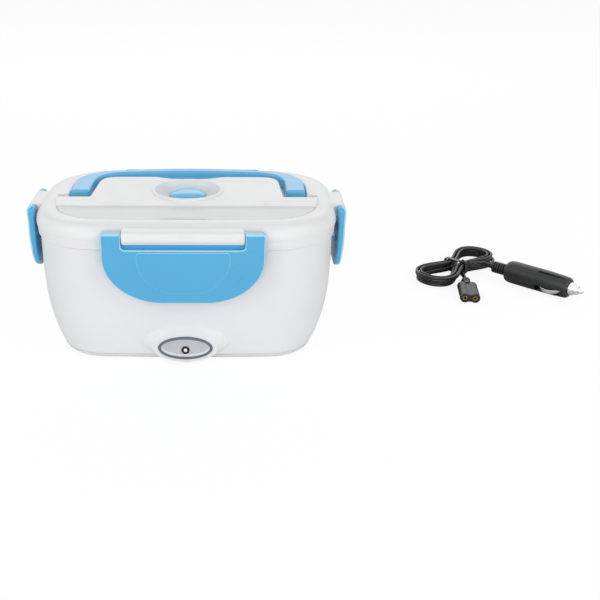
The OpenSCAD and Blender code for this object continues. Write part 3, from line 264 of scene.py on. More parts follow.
def paint_highlight(piece, outward):
    """Marks the rounded and sloping faces round a piece's front, which take a painted highlight."""
    mark = piece.data.attributes.new("rim", "FLOAT", "FACE")
    for face in piece.data.polygons:
        mark.data[face.index].value = 1.0 if HIGHLIGHT_FROM < face.normal.dot(outward) < HIGHLIGHT_TO else 0.0


def declare(piece, body, skin, *nodes):
    """Gives a piece its material, its body and the CAD nodes that it replaces."""
    piece.data.materials.clear()
    piece.data.materials.append(SKINS[skin])
    weight = piece.modifiers.new("normals", "WEIGHTED_NORMAL")
    weight.keep_sharp = True
    weight.weight = 80
    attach(piece, body)
    if nodes:
        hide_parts(*nodes)
    return piece


def scratch(shape, pose=None):
    """A shape that is only there to be added or cut."""
    return make("tool", *shape, pose=pose)


def combine(piece, operation, *tools):
    """Adds tools to a piece or cuts them out of it, and drops them."""
    for tool in tools:
        step = piece.modifiers.new("step", "BOOLEAN")
        step.operation = operation
        step.solver = "MANIFOLD"
        step.object = tool
        graph = bpy.context.evaluated_depsgraph_get()
        made = bpy.data.meshes.new_from_object(piece.evaluated_get(graph))
        piece.modifiers.clear()
        piece.data = made
        bpy.data.objects.remove(tool)
    return piece


# ---------------------------------------------------------------- solids, as points and faces
def loft(rings):
    """Rings of equal length joined in a row, with flat ends."""
    n = len(rings[0])
    points = [p for ring in rings for p in ring]
    faces = [[j * n + i, j * n + (i + 1) % n, (j + 1) * n + (i + 1) % n, (j + 1) * n + i]
             for j in range(len(rings) - 1) for i in range(n)]
    faces.append(list(range(n))[::-1])
    faces.append([(len(rings) - 1) * n + i for i in range(n)])
    return points, faces


def hoop(rings):
    """Rings of equal length joined in a row, and the last to the first."""
    m, n = len(rings), len(rings[0])
    points = [p for ring in rings for p in ring]
    faces = [[j * n + i, j * n + (i + 1) % n, (j + 1) % m * n + (i + 1) % n, (j + 1) % m * n + i]
             for j in range(m) for i in range(n)]
    return points, faces


def stack(outline, profile):
    """An outline taken through (grown by, height) steps."""
    return loft([[(x, y, z) for x, y in outline(g)] for g, z in profile])


def lathe(profile, steps=64, join=loft):
    """A solid of revolution about Z from (radius, height) steps, or a ring where they are joined by hoop."""
    return join([[(max(r, 0.01) * cos(2 * pi * i / steps), max(r, 0.01) * sin(2 * pi * i / steps), z)
                  for i in range(steps)] for r, z in profile])


def box(x0, x1, y0, y1, z0, z1):
    return loft([[(x0, y0, z), (x1, y0, z), (x1, y1, z), (x0, y1, z)] for z in (z0, z1)])


def pin(s, x0, x1, r):
    """A round pin along X from x0 to x1, on the right for s = 1 and on the left for s = -1."""
    turns = [pi / 16 * k for k in range(32)]
    return loft([[(x, r * cos(a), r * sin(a)) for a in turns] for x in sorted((s * x0, s * x1))])


def frames(points):
    """Each point of a route, with its level side and its upper side."""
    for i, p in enumerate(points):
        way = (points[min(i + 1, len(points) - 1)] - points[max(i - 1, 0)]).normalized()
        side = Vector((0, 0, 1)).cross(way).normalized()
        yield p, side, way.cross(side)


def tube(points, r, steps=12):
    return loft([[p + side * (r * cos(2 * pi * k / steps)) + up * (r * sin(2 * pi * k / steps))
                  for k in range(steps)] for p, side, up in frames(points)])


# ---------------------------------------------------------------- steps that round an edge
def top_edge(z, r, steps=4):
    """Steps of a rounded top edge that ends at height z."""
    turns = [pi / 2 * i / steps for i in range(steps + 1)]
    return [(-r * (1 - cos(a)), z - r * (1 - sin(a))) for a in turns]


def foot_edge(z, r, steps=4):
    """Steps of a rounded lower edge that starts at height z."""
    return [(a, 2 * z - b) for a, b in reversed(top_edge(z, r, steps))]


def flared(z0, z1, r, foot=1.0, beyond=2.0, steps=4):
    """Steps of a cutter from a floor at z0, rounded by foot, to a rim at z1 that it rounds by r."""
    turns = [pi / 2 * i / steps for i in range(steps + 1)]
    rim = [(r * (1 - cos(a)), z1 - r + r * sin(a)) for a in turns]
    return foot_edge(z0, foot, 3) + rim + [(r, z1 + beyond)]


# ---------------------------------------------------------------- outlines, as lists of (x, y)
def arc(x, y, r, start, end, steps):
    return [(x + r * cos(radians(start + (end - start) * i / steps)),
             y + r * sin(radians(start + (end - start) * i / steps))) for i in range(steps + 1)]


def ellipse(a, b, x=0.0, y=0.0, steps=72):
    return [(x + a * cos(2 * pi * i / steps), y + b * sin(2 * pi * i / steps)) for i in range(steps)]


def plan(w, d, r, bow=1.2, steps=16):
    """A closed outline with round corners and sides bowed by bow."""
    cx, cy = w / 2 - bow - r, d / 2 - bow - r
    side = [s / 5 - 0.5 for s in range(1, 5)]
    return ([(w / 2 - bow * 4 * s * s, 2 * s * cy) for s in side] + arc(cx, cy, r, 0, 90, steps)
            + [(-2 * s * cx, d / 2 - bow * 4 * s * s) for s in side] + arc(-cx, cy, r, 90, 180, steps)
            + [(-w / 2 + bow * 4 * s * s, -2 * s * cy) for s in side] + arc(-cx, -cy, r, 180, 270, steps)
            + [(2 * s * cx, -d / 2 + bow * 4 * s * s) for s in side] + arc(cx, -cy, r, 270, 360, steps))


def rounded(corners, steps=6):
    """A closed outline through (x, y, radius) corners."""
    out = []
    for i, (x, y, r) in enumerate(corners):
        here = Vector((x, y))
        before = Vector(corners[i - 1][:2]) - here
        after = Vector(corners[(i + 1) % len(corners)][:2]) - here
        if r < 0.01:
            out.append((x, y))
            continue
        half = before.angle(after) / 2
        reach = min(r / max(sin(half), 1e-3) * cos(half), before.length * 0.49, after.length * 0.49)
        a, b = here + before.normalized() * reach, here + after.normalized() * reach
        for k in range(steps + 1):
            t = k / steps
            out.append(tuple(a * (1 - t) ** 2 + here * 2 * t * (1 - t) + b * t * t))
    return out


def mirrored(right):
    """The right half of an outline, from the front to the back, and its mirror image."""
    return right + [(-x, *rest) for x, *rest in reversed(right) if abs(x) > 0.01]


def grow(outline, g):
    """Every side of an outline moved outward by g."""
    n = len(outline)
    area = sum(outline[i - 1][0] * outline[i][1] - outline[i][0] * outline[i - 1][1] for i in range(n))
    turn = 1 if area > 0 else -1
    out = []
    for i in range(n):
        p = Vector(outline[i])
        a, b = (p - Vector(outline[i - 1])).normalized(), (Vector(outline[(i + 1) % n]) - p).normalized()
        na, nb = Vector((a.y, -a.x)) * turn, Vector((b.y, -b.x)) * turn
        m = na + nb
        out.append(tuple(p + m * (g * 2 / max(m.length_squared, 1.2))))
    return out


# ---------------------------------------------------------------- outlines that can grow, for stack
def grown(outline):
    """Any outline, moved outward on every side."""
    return lambda g: grow(outline, g)


def oval(a, b, x=0.0, y=0.0, steps=72):
    """An ellipse."""
    return lambda g: ellipse(a + g, b + g, x, y, steps)


def pad(w, d, r, bow=1.2, steps=16):
    """A plan."""
    return lambda g: plan(w + 2 * g, d + 2 * g, r + g, bow, steps)


def blob(corners):
    """An outline through (x, y, radius) corners: inner corners have a negative radius."""
    def at(g):
        moved = grow([(x, y) for x, y, _ in corners], g)
        radii = [max(0.3, abs(r) + (g if r > 0 else -g)) for _, _, r in corners]
        return rounded([(x, y, r) for (x, y), r in zip(moved, radii)])
    return at


# ---------------------------------------------------------------- directions
def to_side(s):
    """Takes (y, z, outward) to the right side for s = 1 and to the left for s = -1."""
    return Matrix(((0, 0, s, 0), (1, 0, 0, 0), (0, 1, 0, 0), (0, 0, 0, 1)))


# (x, z, outward) to the front of the box
FRONT = Matrix.Rotation(radians(90), 4, "X")
# (y, z, outward) to the right side of the plug, and (x, z, outward) to its upper side and its underside
SIDE = to_side(1)
TOP = Matrix(((1, 0, 0, 0), (0, 0, 1, 0), (0, 1, 0, 0), (0, 0, 0, 1)))
UNDER = TOP @ Matrix.Rotation(radians(180), 4, "Y")
# (outward, up, along) to a clip's frame
ALONG = Matrix(((0, 0, -1, 0), (-1, 0, 0, 0), (0, 1, 0, 0), (0, 0, 0, 1)))


# ---------------------------------------------------------------- cord
# the lead has a frame of its own on the floor, where the hank runs along X from the twist tie at 0
LEAD = Matrix.Translation((240, 108, 0)) @ Matrix.Rotation(radians(46), 4, "Z")
CORD_W, CORE_R, CORE_OUT = 4.6, 1.18, 1.08
HANK_STEP, HANK_LOOPS, HANK_WAIST = 3.6, 4, 9.0
HANK_HALF, HANK_BULGE, HANK_PINCH = 50, 34, 0.35
HANK_Z, LAYER_STEP, CLIMB_TURNS = 3.4, 5.1, 0.25
HANK_TOP = HANK_Z + LAYER_STEP
HANK_RINGS = 72
CONNECTOR_AT, CONNECTOR_DIR = Vector((-22, -24, 4.3)), Vector((-0.8, -0.6, 0))
CONNECTOR_TURN = 180 + 36.8699
PLUG_AT = Vector((13, -31, 10.1))


def smooth_route(knots, steps):
    """A smooth curve through the knots, with so many points to each stretch."""
    knots = [Vector(k) for k in knots]
    out = []
    for i in range(len(knots) - 1):
        a, b, c, d = (knots[max(i - 1, 0)], knots[i], knots[i + 1], knots[min(i + 2, len(knots) - 1)])
        for s in range(steps):
            t = s / steps
            out.append(0.5 * (2 * b + (c - a) * t + (2 * a - 5 * b + 4 * c - d) * t * t
                              + (3 * b - a - 3 * c + d) * t ** 3))
    return out + [knots[-1]]


def hank_base(angle):
    """The outermost loop: a figure that is wide at both ends and narrow at its waist."""
    c, s = cos(radians(angle)), sin(radians(angle))
    return Vector((HANK_HALF * c * (1 - HANK_PINCH * s * s), s * (HANK_WAIST + HANK_BULGE * c * c), 0))


def hank_point(t):
    """A place t turns along the hank, which spirals in, climbs one layer and spirals out again."""
    angle = 270 + 360 * t
    way = hank_base(angle + 0.1) - hank_base(angle - 0.1)
    out = Vector((way.y, -way.x, 0)).normalized()
    v = min(1, max(0, (t - HANK_LOOPS / 2) / CLIMB_TURNS + 0.5))
    p = hank_base(angle) - out * (HANK_STEP * min(t, HANK_LOOPS - t))
    p.z = HANK_Z + LAYER_STEP * v * v * (3 - 2 * v)
    return p


def make_cord():
    hank = [hank_point(i / HANK_RINGS) for i in range(HANK_LOOPS * HANK_RINGS + 1)]
    first = smooth_route([CONNECTOR_AT, CONNECTOR_AT - CONNECTOR_DIR * CORD_W, (-12, -16.1, 4),
                          (-6, -10.2, HANK_Z + 0.1), hank[0]], 8)
    last = smooth_route([hank[-1], (5, -HANK_WAIST - 1, HANK_TOP), (9.4, -13.2, HANK_TOP + 0.2),
                         (12.2, -18, HANK_TOP + 0.7), PLUG_AT + Vector((0, 2 * CORD_W, -0.1)),
                         PLUG_AT + Vector((0, CORD_W, 0)), PLUG_AT], 8)
    route = first[:-1] + hank + last[1:]
    # twin section: two round cores side by side, with a shallow groove between them
    turns = [radians(-132 + 264 * k / 10) for k in range(11)]
    core = [(CORE_R * sin(a), CORE_OUT + CORE_R * cos(a)) for a in turns]
    section = core + [(-x, -y) for x, y in core]
    rings = [[p + side * x + up * y for x, y in section] for p, side, up in frames(route)]
    cord = make("cord", *loft(rings), "lead", "cord_black", "lead_hank", "connector_cord", "plug_cord",
                pose=LEAD, sharp=60)
    world = [(LEAD @ p) * MM for p in route]
    length = sum((world[i + 1] - world[i]).length for i in range(len(world) - 1))
    return cord, world, length


cord, cord_path, cord_length = make_cord()


# ---------------------------------------------------------------- car plug, connector and twist tie
BLACK = ("lead", "black_plastic")
SILVER = ("lead", "plug_silver")
# the plug's own frame has Z from the cord to the tip, and PLUG_ROLL turns its contacts up a little
PLUG = LEAD @ Matrix.Translation(PLUG_AT) @ Matrix.Rotation(radians(90), 4, "X")
PLUG_ROLL = PLUG @ Matrix.Rotation(radians(25), 4, "Z")
# the sprung side contacts, the slots that they stand in, and a groove above and below
CONTACT_FROM, CONTACT_LENGTH = 46, 22
SLOT_FROM, SLOT_TO, SLOT_HALF = 45, 69, 2.6
GROOVE_FROM, GROOVE_TO = 46, 69


def make_relief():
    """The ribbed sleeve where the cord enters the plug."""
    profile = [(0, 0), (3.6, 0), (4, 0.3)]
    rib = [(4.9, 0.5), (5.2, 0.8), (5.2, 1.8), (4.9, 2.1), (4.3, 2.3), (4.3, 2.7)]
    for i in range(5):
        profile += [(r, 2.4 * i + z) for r, z in rib]
    profile += [(4.3, 15.6), (5.4, 16), (5.4, 18), (0, 18)]
    return make("strain_relief", *lathe(profile, 48), *BLACK, "plug_strain_relief", pose=PLUG)


def make_housing(name, low, high):
    """The half of the plug's housing between two heights over its middle."""
    skin = [(4.5, 14), (6.6, 14), (7.4, 14.2), (8.6, 15), (9.4, 16.4), (9.8, 18.2), (10, 21), (10, 40),
            (9.9, 52), (9.6, 62), (9.1, 70.4), (8.7, 71.8), (7.9, 72.8), (7.2, 73), (4.2, 73), (4.2, 70),
            (5.6, 70), (5.6, 15.9), (4.5, 15.9)]
    half = make("housing_" + name, *lathe(skin, 96, hoop), pose=PLUG_ROLL)
    nub = rounded([(-1.6, 20.2, 0.5), (1.6, 20.2, 0.5), (1.6, 24, 0.5), (-1.6, 24, 0.5)])
    nub_steps = [(-0.3, 8), (0, 8.2), (0, 11.0), (-0.4, 11.4)]
    combine(half, "UNION", scratch(stack(grown(nub), nub_steps), pose=PLUG_ROLL @ SIDE))
    cuts = [scratch(box(x0, x1, -SLOT_HALF, SLOT_HALF, SLOT_FROM, SLOT_TO), pose=PLUG_ROLL)
            for x0, x1 in ((4, 14), (-14, -4))]
    groove = arc(0, GROOVE_FROM, 1.1, 180, 360, 8) + arc(0, GROOVE_TO, 1.1, 0, 180, 8)
    cuts.append(scratch(stack(grown(groove), flared(8.5, 10.0, 0.3, 0.3)), pose=PLUG_ROLL @ TOP))
    if name == "lower":
        grip = arc(0, 29, 12, -90, 90, 20) + arc(-9, 29, 15, 53, -53, 20)
        cuts.append(scratch(stack(grown(grip), [(0, 9.2), (0, 14)]), pose=PLUG_ROLL @ UNDER))
    combine(half, "DIFFERENCE", *cuts)
    combine(half, "INTERSECT", scratch(box(-20, 20, low, high, 0, 80), pose=PLUG_ROLL))
    tidy(half)
    return declare(half, *BLACK, "plug_housing_" + name)


def make_contacts():
    """Two bowed strips that spring out of the plug's sides."""
    rings = []
    for i in range(25):
        u = i / 24
        x, z = 6.4 + 4.6 * sin(pi * u), CONTACT_FROM + CONTACT_LENGTH * u
        edge = 2.0 - 0.5 * abs(2 * u - 1) ** 4
        rings.append([(x - 0.7, -edge, z), (x - 0.15, -edge, z), (x, -edge + 0.3, z),
                      (x, edge - 0.3, z), (x - 0.15, edge, z), (x - 0.7, edge, z)])
    right, left = [scratch(loft(rings), pose=PLUG_ROLL @ Matrix.Rotation(radians(turn), 4, "Z"))
                   for turn in (0, 180)]
    contacts = combine(right, "UNION", left)
    contacts.name = "contacts"
    return declare(contacts, *SILVER, "side_contacts")


def make_plug():
    pieces = [make_relief()]
    pieces += [make_housing("upper", 0.05, 20), make_housing("lower", -20, -0.05)]
    pieces.append(make_contacts())
    nut = [(2.3, 70.2), (4.1, 70.2), (4.1, 73.1), (5.2, 73.1), (5.6, 73.5), (5.6, 76), (5.3, 76.6), (4.7, 77),
           (4.1, 77.2), (4.1, 79.9), (3.9, 80.5), (3.4, 80.8), (2.3, 80.8)]
    pieces.append(make("nut", *lathe(nut, 64, hoop), *SILVER, "plug_nut", pose=PLUG))
    tip = [(0, 67.4), (3.4, 67.4), (3.6, 67.6), (3.6, 69.6), (3.4, 69.8), (2.25, 69.8), (2.25, 83), (2.1, 83.8),
           (1.7, 84.6), (1.1, 84.95), (0, 85)]
    pieces.append(make("tip", *lathe(tip, 48), "tip", "plug_silver", "plug_tip", pose=PLUG))
    return pieces


# the figure-eight connector's two lobes
LOBE_R, LOBE_OUT = 4.2, 4.3


def eight(g):
    """A figure of two lobes, which can grow."""
    turns = [radians(-38 + 256 * k / 28) for k in range(29)]
    return [(s * (LOBE_R + g) * cos(a), s * (LOBE_OUT + (LOBE_R + g) * sin(a))) for s in (1, -1) for a in turns]


def make_connector():
    turn = Matrix.Rotation(radians(CONNECTOR_TURN), 4, "Z")
    pose = LEAD @ Matrix.Translation(CONNECTOR_AT) @ turn @ Matrix.Rotation(radians(90), 4, "Y")
    collar = [(0, 0), (3.1, 0), (3.7, 0.3), (4, 0.8), (4, 2.2), (3.3, 2.8), (3.3, 4), (4, 4.5), (4, 6.1),
              (3.3, 6.7), (3.3, 8), (3.8, 8.3), (4.2, 8.9), (4.2, 13), (0, 13)]
    connector = make("connector", *lathe(collar, 64), pose=pose)
    body = [(-1.2, 10.4), (-0.5, 10.8), (-0.1, 11.6), (0, 12.6), (0, 38.8), (-0.2, 39.6), (-0.7, 40)]
    combine(connector, "UNION", scratch(stack(eight, body), pose=pose))
    combine(connector, "DIFFERENCE", *[scratch(stack(oval(1.9, 1.9, 0, y, 48), [(0, 24), (0, 39.6), (0.5, 41)]),
                                               pose=pose) for y in (-LOBE_OUT, LOBE_OUT)])
    tidy(connector, 40)
    return declare(connector, *BLACK, "lead_connector")


def make_tie():
    """A flat band round the hank's waist, with a knot and a twisted tail in front."""
    band, band_z = pad(21.2, 10.5, 1.6, 0, 6), 5.95
    section = [(0, -1.9), (0.12, -2), (0.58, -2), (0.7, -1.9), (0.7, 1.9), (0.58, 2), (0.12, 2), (0, 1.9)]
    rings = [[(x, y + band_z, z) for x, y in band(g)] for g, z in section]
    tie = make("tie", *hoop(rings), pose=LEAD @ SIDE)
    route = smooth_route([(0, -6, 11.6), (0.3, -9, 12.2), (1.2, -13, 12.6), (2.6, -16, 12.2),
                          (4.2, -18.5, 11.2), (5.6, -20, 9.6)], 12)
    turns = [pi / 6 * k for k in range(12)]
    tail = []
    for i, (p, side, up) in enumerate(frames(route)):
        twist = radians(13.3 * i)
        across, out = side * cos(twist) + up * sin(twist), up * cos(twist) - side * sin(twist)
        tail.append([p + across * (1.1 * cos(a)) + out * (0.42 * sin(a)) for a in turns])
    knot = [Vector((2.2 * cos(a), -6 + 1.6 * sin(a), 12.1 + 0.5 * cos(2 * a)))
            for a in (pi * k / 12 for k in range(25))]
    combine(tie, "UNION", scratch(loft(tail), pose=LEAD), scratch(tube(knot, 0.55, 10), pose=LEAD))
    tidy(tie, 50)
    return declare(tie, "lead", "black_gloss", "twist_tie")


plug_pieces = make_plug()
connector = make_connector()
tie = make_tie()


# ---------------------------------------------------------------- base
# heights of the wall's foot, the seam, the frame round the lid's top and the plateau on it
BASE_Z, SEAM_Z, FRAME_Z, PLATEAU_Z = 4.0, 88.0, 107.0, 110.5
WALL = 2.4
INDICATOR_Z, LED_Z = 12.7, 10.5
INLET_W, INLET_H, INLET_Z = 24.0, 12.6, 11.2
# how far to the front the boss's face and the seat of the indicator behind it are
BOSS_OUT, SEAT_OUT = 76.5, 74.1
# the clips' hooks catch under ribs at this height: half length, inner side and outer side of each
RIB_FOOT, RIB_TOP = 78, 81
LONG_RIB, SHORT_RIB = (39.5, 71.5, 76.2), (14, 108.5, 113.2)


def body_outline(z, g=0.0):
    """The tapered body's outline at height z."""
    f = (1 - min(1, max(0, (z - BASE_Z) / (SEAM_Z - BASE_Z)))) ** 3.6
    return plan(221 - 28 * f + 2 * g, 147 - 7 * f + 2 * g, 48 - 13 * f + g)


def inlet_outline(g):
    return [(x, y + INLET_Z) for x, y in plan(INLET_W + 2 * g, INLET_H + 2 * g, INLET_H / 2 - 0.5, 0, 8)]


def make_base():
    # from the floor's underside down inside the foot, up the wall, over the lip and down to the floor's top
    steps = [(-WALL, 18.6), (-WALL, 12), (-WALL, 4.2), (-2.2, BASE_Z), (-1.0, BASE_Z), (-0.3, 4.3), (0, 5)]
    steps += [(0, 5 + 82.4 * (i / 26) ** 1.15) for i in range(1, 27)]
    steps += [(-0.15, 87.8), (-0.6, SEAM_Z), (-3, SEAM_Z), (-3, 91.9), (-3.4, 92.3), (-4.6, 92.3), (-5, 91.9),
              (-5, 83), (-4.6, 82), (-WALL, 82)]
    steps += [(-WALL, z) for z in (70, 58, 48, 40, 34, 29, 25, 22.5)] + [(-2.6, 21.6), (-3.4, 21)]
    base = make("base", *loft([[(x, y, z) for x, y in body_outline(z, g)] for g, z in steps]))
    # the boss spreads up and sideways into the wall, and its lower edge stays level
    boss = stack(lambda g: ellipse(24 + g, 11.4 + g / 2, 0, INDICATOR_Z + g / 2),
                 [(9, 66), (9, 71), (6.4, 72), (4.2, 73), (2.4, 74.1), (1.1, 75.2), (0.3, 76.1),
                  (-0.4, BOSS_OUT)])
    half, inner, outer = LONG_RIB
    ribs = [box(-half, half, *ys, RIB_FOOT, RIB_TOP) for ys in ((-outer, -inner), (inner, outer))]
    half, inner, outer = SHORT_RIB
    ribs += [box(*xs, -half, half, RIB_FOOT, RIB_TOP) for xs in ((-outer, -inner), (inner, outer))]
    combine(base, "UNION", scratch(boss, pose=FRONT), *[scratch(rib) for rib in ribs])
    recess = scratch(stack(oval(20, 9.1, 0, INDICATOR_Z), flared(SEAT_OUT, BOSS_OUT, 0.5, 0.2)), pose=FRONT)
    board_well = scratch(box(-16.5, 16.5, -71.8, -60, 4.8, 18.6))
    led_bore = scratch(stack(oval(1.95, 1.95, 0, LED_Z, 32), [(0, 70), (0, 76)]), pose=FRONT)
    plate_window = scratch(stack(pad(120, 72, 6, 0, 6), [(0, 17), (0, 23)]))
    inlet_hole = scratch(stack(inlet_outline, [(0.1, -80), (0.1, -60)]), pose=FRONT)
    combine(base, "DIFFERENCE", recess, board_well, led_bore, plate_window, inlet_hole)
    tidy(base)
    declare(base, "base", "white_shell", "base_shell")


def make_indicator():
    """The bezel, and the panel with a lip that slopes in from it."""
    def framed(a, b):
        return oval(a, b, 0, INDICATOR_Z)

    bezel = scratch(stack(framed(19.9, 9.0), [(0, SEAT_OUT)] + top_edge(77.3, 0.7)), FRONT)
    opening = [(0, 73.5), (0, 76.8), (0.15, 77.15), (0.5, 77.3), (0.5, 78)]
    combine(bezel, "DIFFERENCE", scratch(stack(framed(18.1, 7.2), opening), FRONT))
    bezel.name = "bezel"
    tidy(bezel)
    declare(bezel, "base", "grey_bezel", "indicator_bezel")

    panel = scratch(stack(framed(18.06, 7.16), [(0, SEAT_OUT), (0, 76.5), (-0.2, 76.7)]), FRONT)
    dip = [(0, 75.1), (0.1, 75.13), (1.0, 76.2), (1.2, 76.7), (1.3, 77.7)]
    combine(panel, "DIFFERENCE", scratch(stack(framed(16.5, 5.6), dip), FRONT),
            scratch(stack(oval(3.06, 3.06, 0, LED_Z, 48), [(0, 73), (0, 77)]), FRONT))
    panel.name = "panel"
    tidy(panel)
    # the panel's sloping lip gets the painted highlight
    paint_highlight(panel, Vector((0, -1, 0)))
    declare(panel, "base", "grey_panel", "indicator_panel")


make_base()
make_indicator()


# ---------------------------------------------------------------- lid
# the shoulder between skirt and frame, which is part of a superellipse
SHOULDER_W, SHOULDER_H, SHOULDER_POWER = 12, 11, 2.6
# heights of the trough's floor and its underside, and of the top of the walls that join the frame
FLOOR_Z, UNDER_Z, JOIN_Z = 101.8, 99.8, 106.5
DISH_AT = Matrix.Translation((0, -1.5, 0))
# y and z of the handle's pins
HANDLE_PIN = (4, 103.8)
PIVOT_Z = 101
# each side's turn, how far out its clip's pivot is, and half the width of the tab round it
SIDES = {"front": (0, 79.6, 43), "back": (180, 79.6, 43),
         "left": (-90, 116.6, 16.5), "right": (90, 116.6, 16.5)}

lid_outline = pad(226, 152, 50.5)


def shoulder(h):
    """How far the lid is drawn in at h below its frame."""
    p = SHOULDER_POWER
    return SHOULDER_W * (1 - (1 - (1 - h / SHOULDER_H) ** p) ** (1 / p))


def lid_steps(g, drop, foot):
    """Steps up the skirt and over the shoulder, grown by g, with the top lower by drop and the rim by foot."""
    rise = [(-1.6, 88.3 - foot), (-1.05, 88.7 - foot), (-0.95, 89.4 - foot)]
    rise += [(-0.4, 95.4), (-0.05, 95.8), (0, 96.3)]
    below = (10.4, 9.4, 8.2, 7, 5.8, 4.6, 3.6, 2.7, 1.9, 1.3, 0.8, 0.4, 0.15, 0.03)
    rise += [(-shoulder(h), FRAME_Z - h) for h in below]
    rise += [(-SHOULDER_W, FRAME_Z), (-SHOULDER_W - 1, FRAME_Z)]
    return [(a + g, z - drop if z > 97 else z) for a, z in rise]


def bail(side, front, rear, r, bow, g=0.0):
    """A straight front, round rear corners and a rear edge bowed by bow."""
    rear_edge = [(s * (side - r), rear - bow * s * s + g)
                 for s in (0.8, 0.6, 0.4, 0.2, 0, -0.2, -0.4, -0.6, -0.8)]
    return ([(-side - g, front - g), (side + g, front - g)] + arc(side - r, rear - bow - r, r + g, 0, 90, 16)
            + rear_edge + arc(r - side, rear - bow - r, r + g, 90, 180, 16))


def trough(g):
    """The trough that the handle lies in."""
    return bail(91.7, -17, 63.9, 35.2, 6, g)


def crescent(inset, back):
    """The part of the lid's outline, drawn in by inset, in front of y = back."""
    full = lid_outline(-inset)
    ring = [p for p in full if p[1] < back - 0.8]
    ring.sort(key=lambda p: p[0])
    side = max(p[0] for p in full if abs(p[1] - back) < 6)
    ends = [(-side + 0.4, back, 2.2), (side - 0.4, back, 2.2)]
    return grown(rounded([(x, y, 0) for x, y in ring] + ends[::-1]))


def at_side(side):
    """The place of a side's clip pivot, with -Y outward."""
    turn, out, _ = SIDES[side]
    return Matrix.Rotation(radians(turn), 4, "Z") @ Matrix.Translation((0, -out, PIVOT_Z))


plateau = blob(mirrored([(97, -28.5, 3.5), (99.5, -17, 1.6), (73, -17, -2), (70.2, 36.5, 15), (27, 36.5, -16),
                         (14, 31, 14)]))


def add_tabs(lid):
    """The four tabs that carry the clips, with a bore for each pin."""
    profile = rounded([(-12, -2, 0), (-5.4, -6, 0), (1.4, -6, 1.2), (3.3, -3.2, 1.4), (3.3, 3.4, 5.0),
                       (-12, 3.9, 0)])
    for side, (_, _, half) in SIDES.items():
        place = at_side(side)
        tab = scratch(stack(grown(profile), foot_edge(-half, 1.1) + top_edge(half, 1.1)), pose=place @ ALONG)
        combine(tab, "DIFFERENCE", scratch(stack(lid_outline, lid_steps(-2.2, 0.3, 4))))
        combine(lid, "UNION", tab)
        for s in (-1, 1):
            combine(lid, "DIFFERENCE", scratch(pin(s, half - 6, half + 1, 1.98), pose=place))


def make_lid():
    lid = make("lid", *stack(lid_outline, lid_steps(0, 0, 0)))
    combine(lid, "DIFFERENCE", scratch(stack(lid_outline, lid_steps(-WALL, 2, 2))))
    # walls of the trough, of the spoon cover's ledge, of the spoon's compartment and round the handle's ends
    blocks = [stack(trough, [(2, UNDER_Z), (2, JOIN_Z)]),
              stack(crescent(13, -28.5), [(0, 103), (0, JOIN_Z)]),
              stack(crescent(17.5, -31), [(0, 94.5), (0, 104)])]
    for s in (-1, 1):
        blocks.append(box(*sorted((s * 73.5, s * 94)), -19, 15, 96, JOIN_Z))
        blocks.append(box(*sorted((s * 89.7, s * 101)), -19, 1.5, UNDER_Z, 106))
    combine(lid, "UNION", *[scratch(block) for block in blocks])
    cuts = [stack(trough, flared(FLOOR_Z, FRAME_Z, 1.2, 0.8)),
            stack(crescent(15, -30.5), flared(105.0, FRAME_Z, 0.5, 0.1)),
            stack(crescent(19.5, -33), flared(96.5, 105.1, 0.5, 1.0, beyond=1))]
    for s in (-1, 1):
        seat = [(s * 75.4, -17, 1.5), (s * 91.7, -17, 1.5), (s * 91.7, 13, 1.5), (s * 75.4, 13, 1.5)][::s]
        pocket = [(s * 86, -17, 1.5), (s * 99.2, -17, 1.5), (s * 99.2, -0.5, 3), (s * 86, -0.5, 1.5)][::s]
        cuts.append(stack(blob(seat), [(-0.6, 97.6), (-0.2, 97.8), (0, 98.4), (0, 103)]))
        cuts.append(stack(blob(pocket), flared(FLOOR_Z, FRAME_Z, 1.0, 1.2)))
    combine(lid, "DIFFERENCE", *[scratch(cut) for cut in cuts])
    for s in (-1, 1):
        bore = stack(oval(2.06, 2.06, *HANDLE_PIN, 32), [(0, 90), (0, 95.9)])
        combine(lid, "DIFFERENCE", scratch(bore, pose=to_side(s)))
    combine(lid, "UNION", scratch(stack(plateau, [(0, UNDER_Z)] + top_edge(PLATEAU_Z, 1.3, 5))))
    combine(lid, "DIFFERENCE", scratch(stack(plateau, [(-2, 95.5), (-2, 108.5)])))
    dish = [(0, 102), (19, 102), (25.5, 107.5), (27.5, 110.2), (27.3, 110.9), (27.25, 111.4), (27.0, 111.8),
            (26.5, 112), (0, 112)]
    bowl = [(0, 104), (16, 104), (18.6, 104.3), (21, 105.4), (22.9, 107.3), (24, 109.4), (24.8, 111.3),
            (25.2, 111.8), (25.8, 112.1), (26.4, 113), (0, 113)]
    vent = [(0, 100), (8, 100), (8, 106), (0, 106)]
    combine(lid, "UNION", scratch(lathe(dish, 96), pose=DISH_AT))
    combine(lid, "DIFFERENCE", scratch(lathe(bowl, 96), pose=DISH_AT), scratch(lathe(vent, 64), pose=DISH_AT))
    add_tabs(lid)
    tidy(lid, 40)
    declare(lid, "lid", "white_lid", "lid_shell")


make_lid()


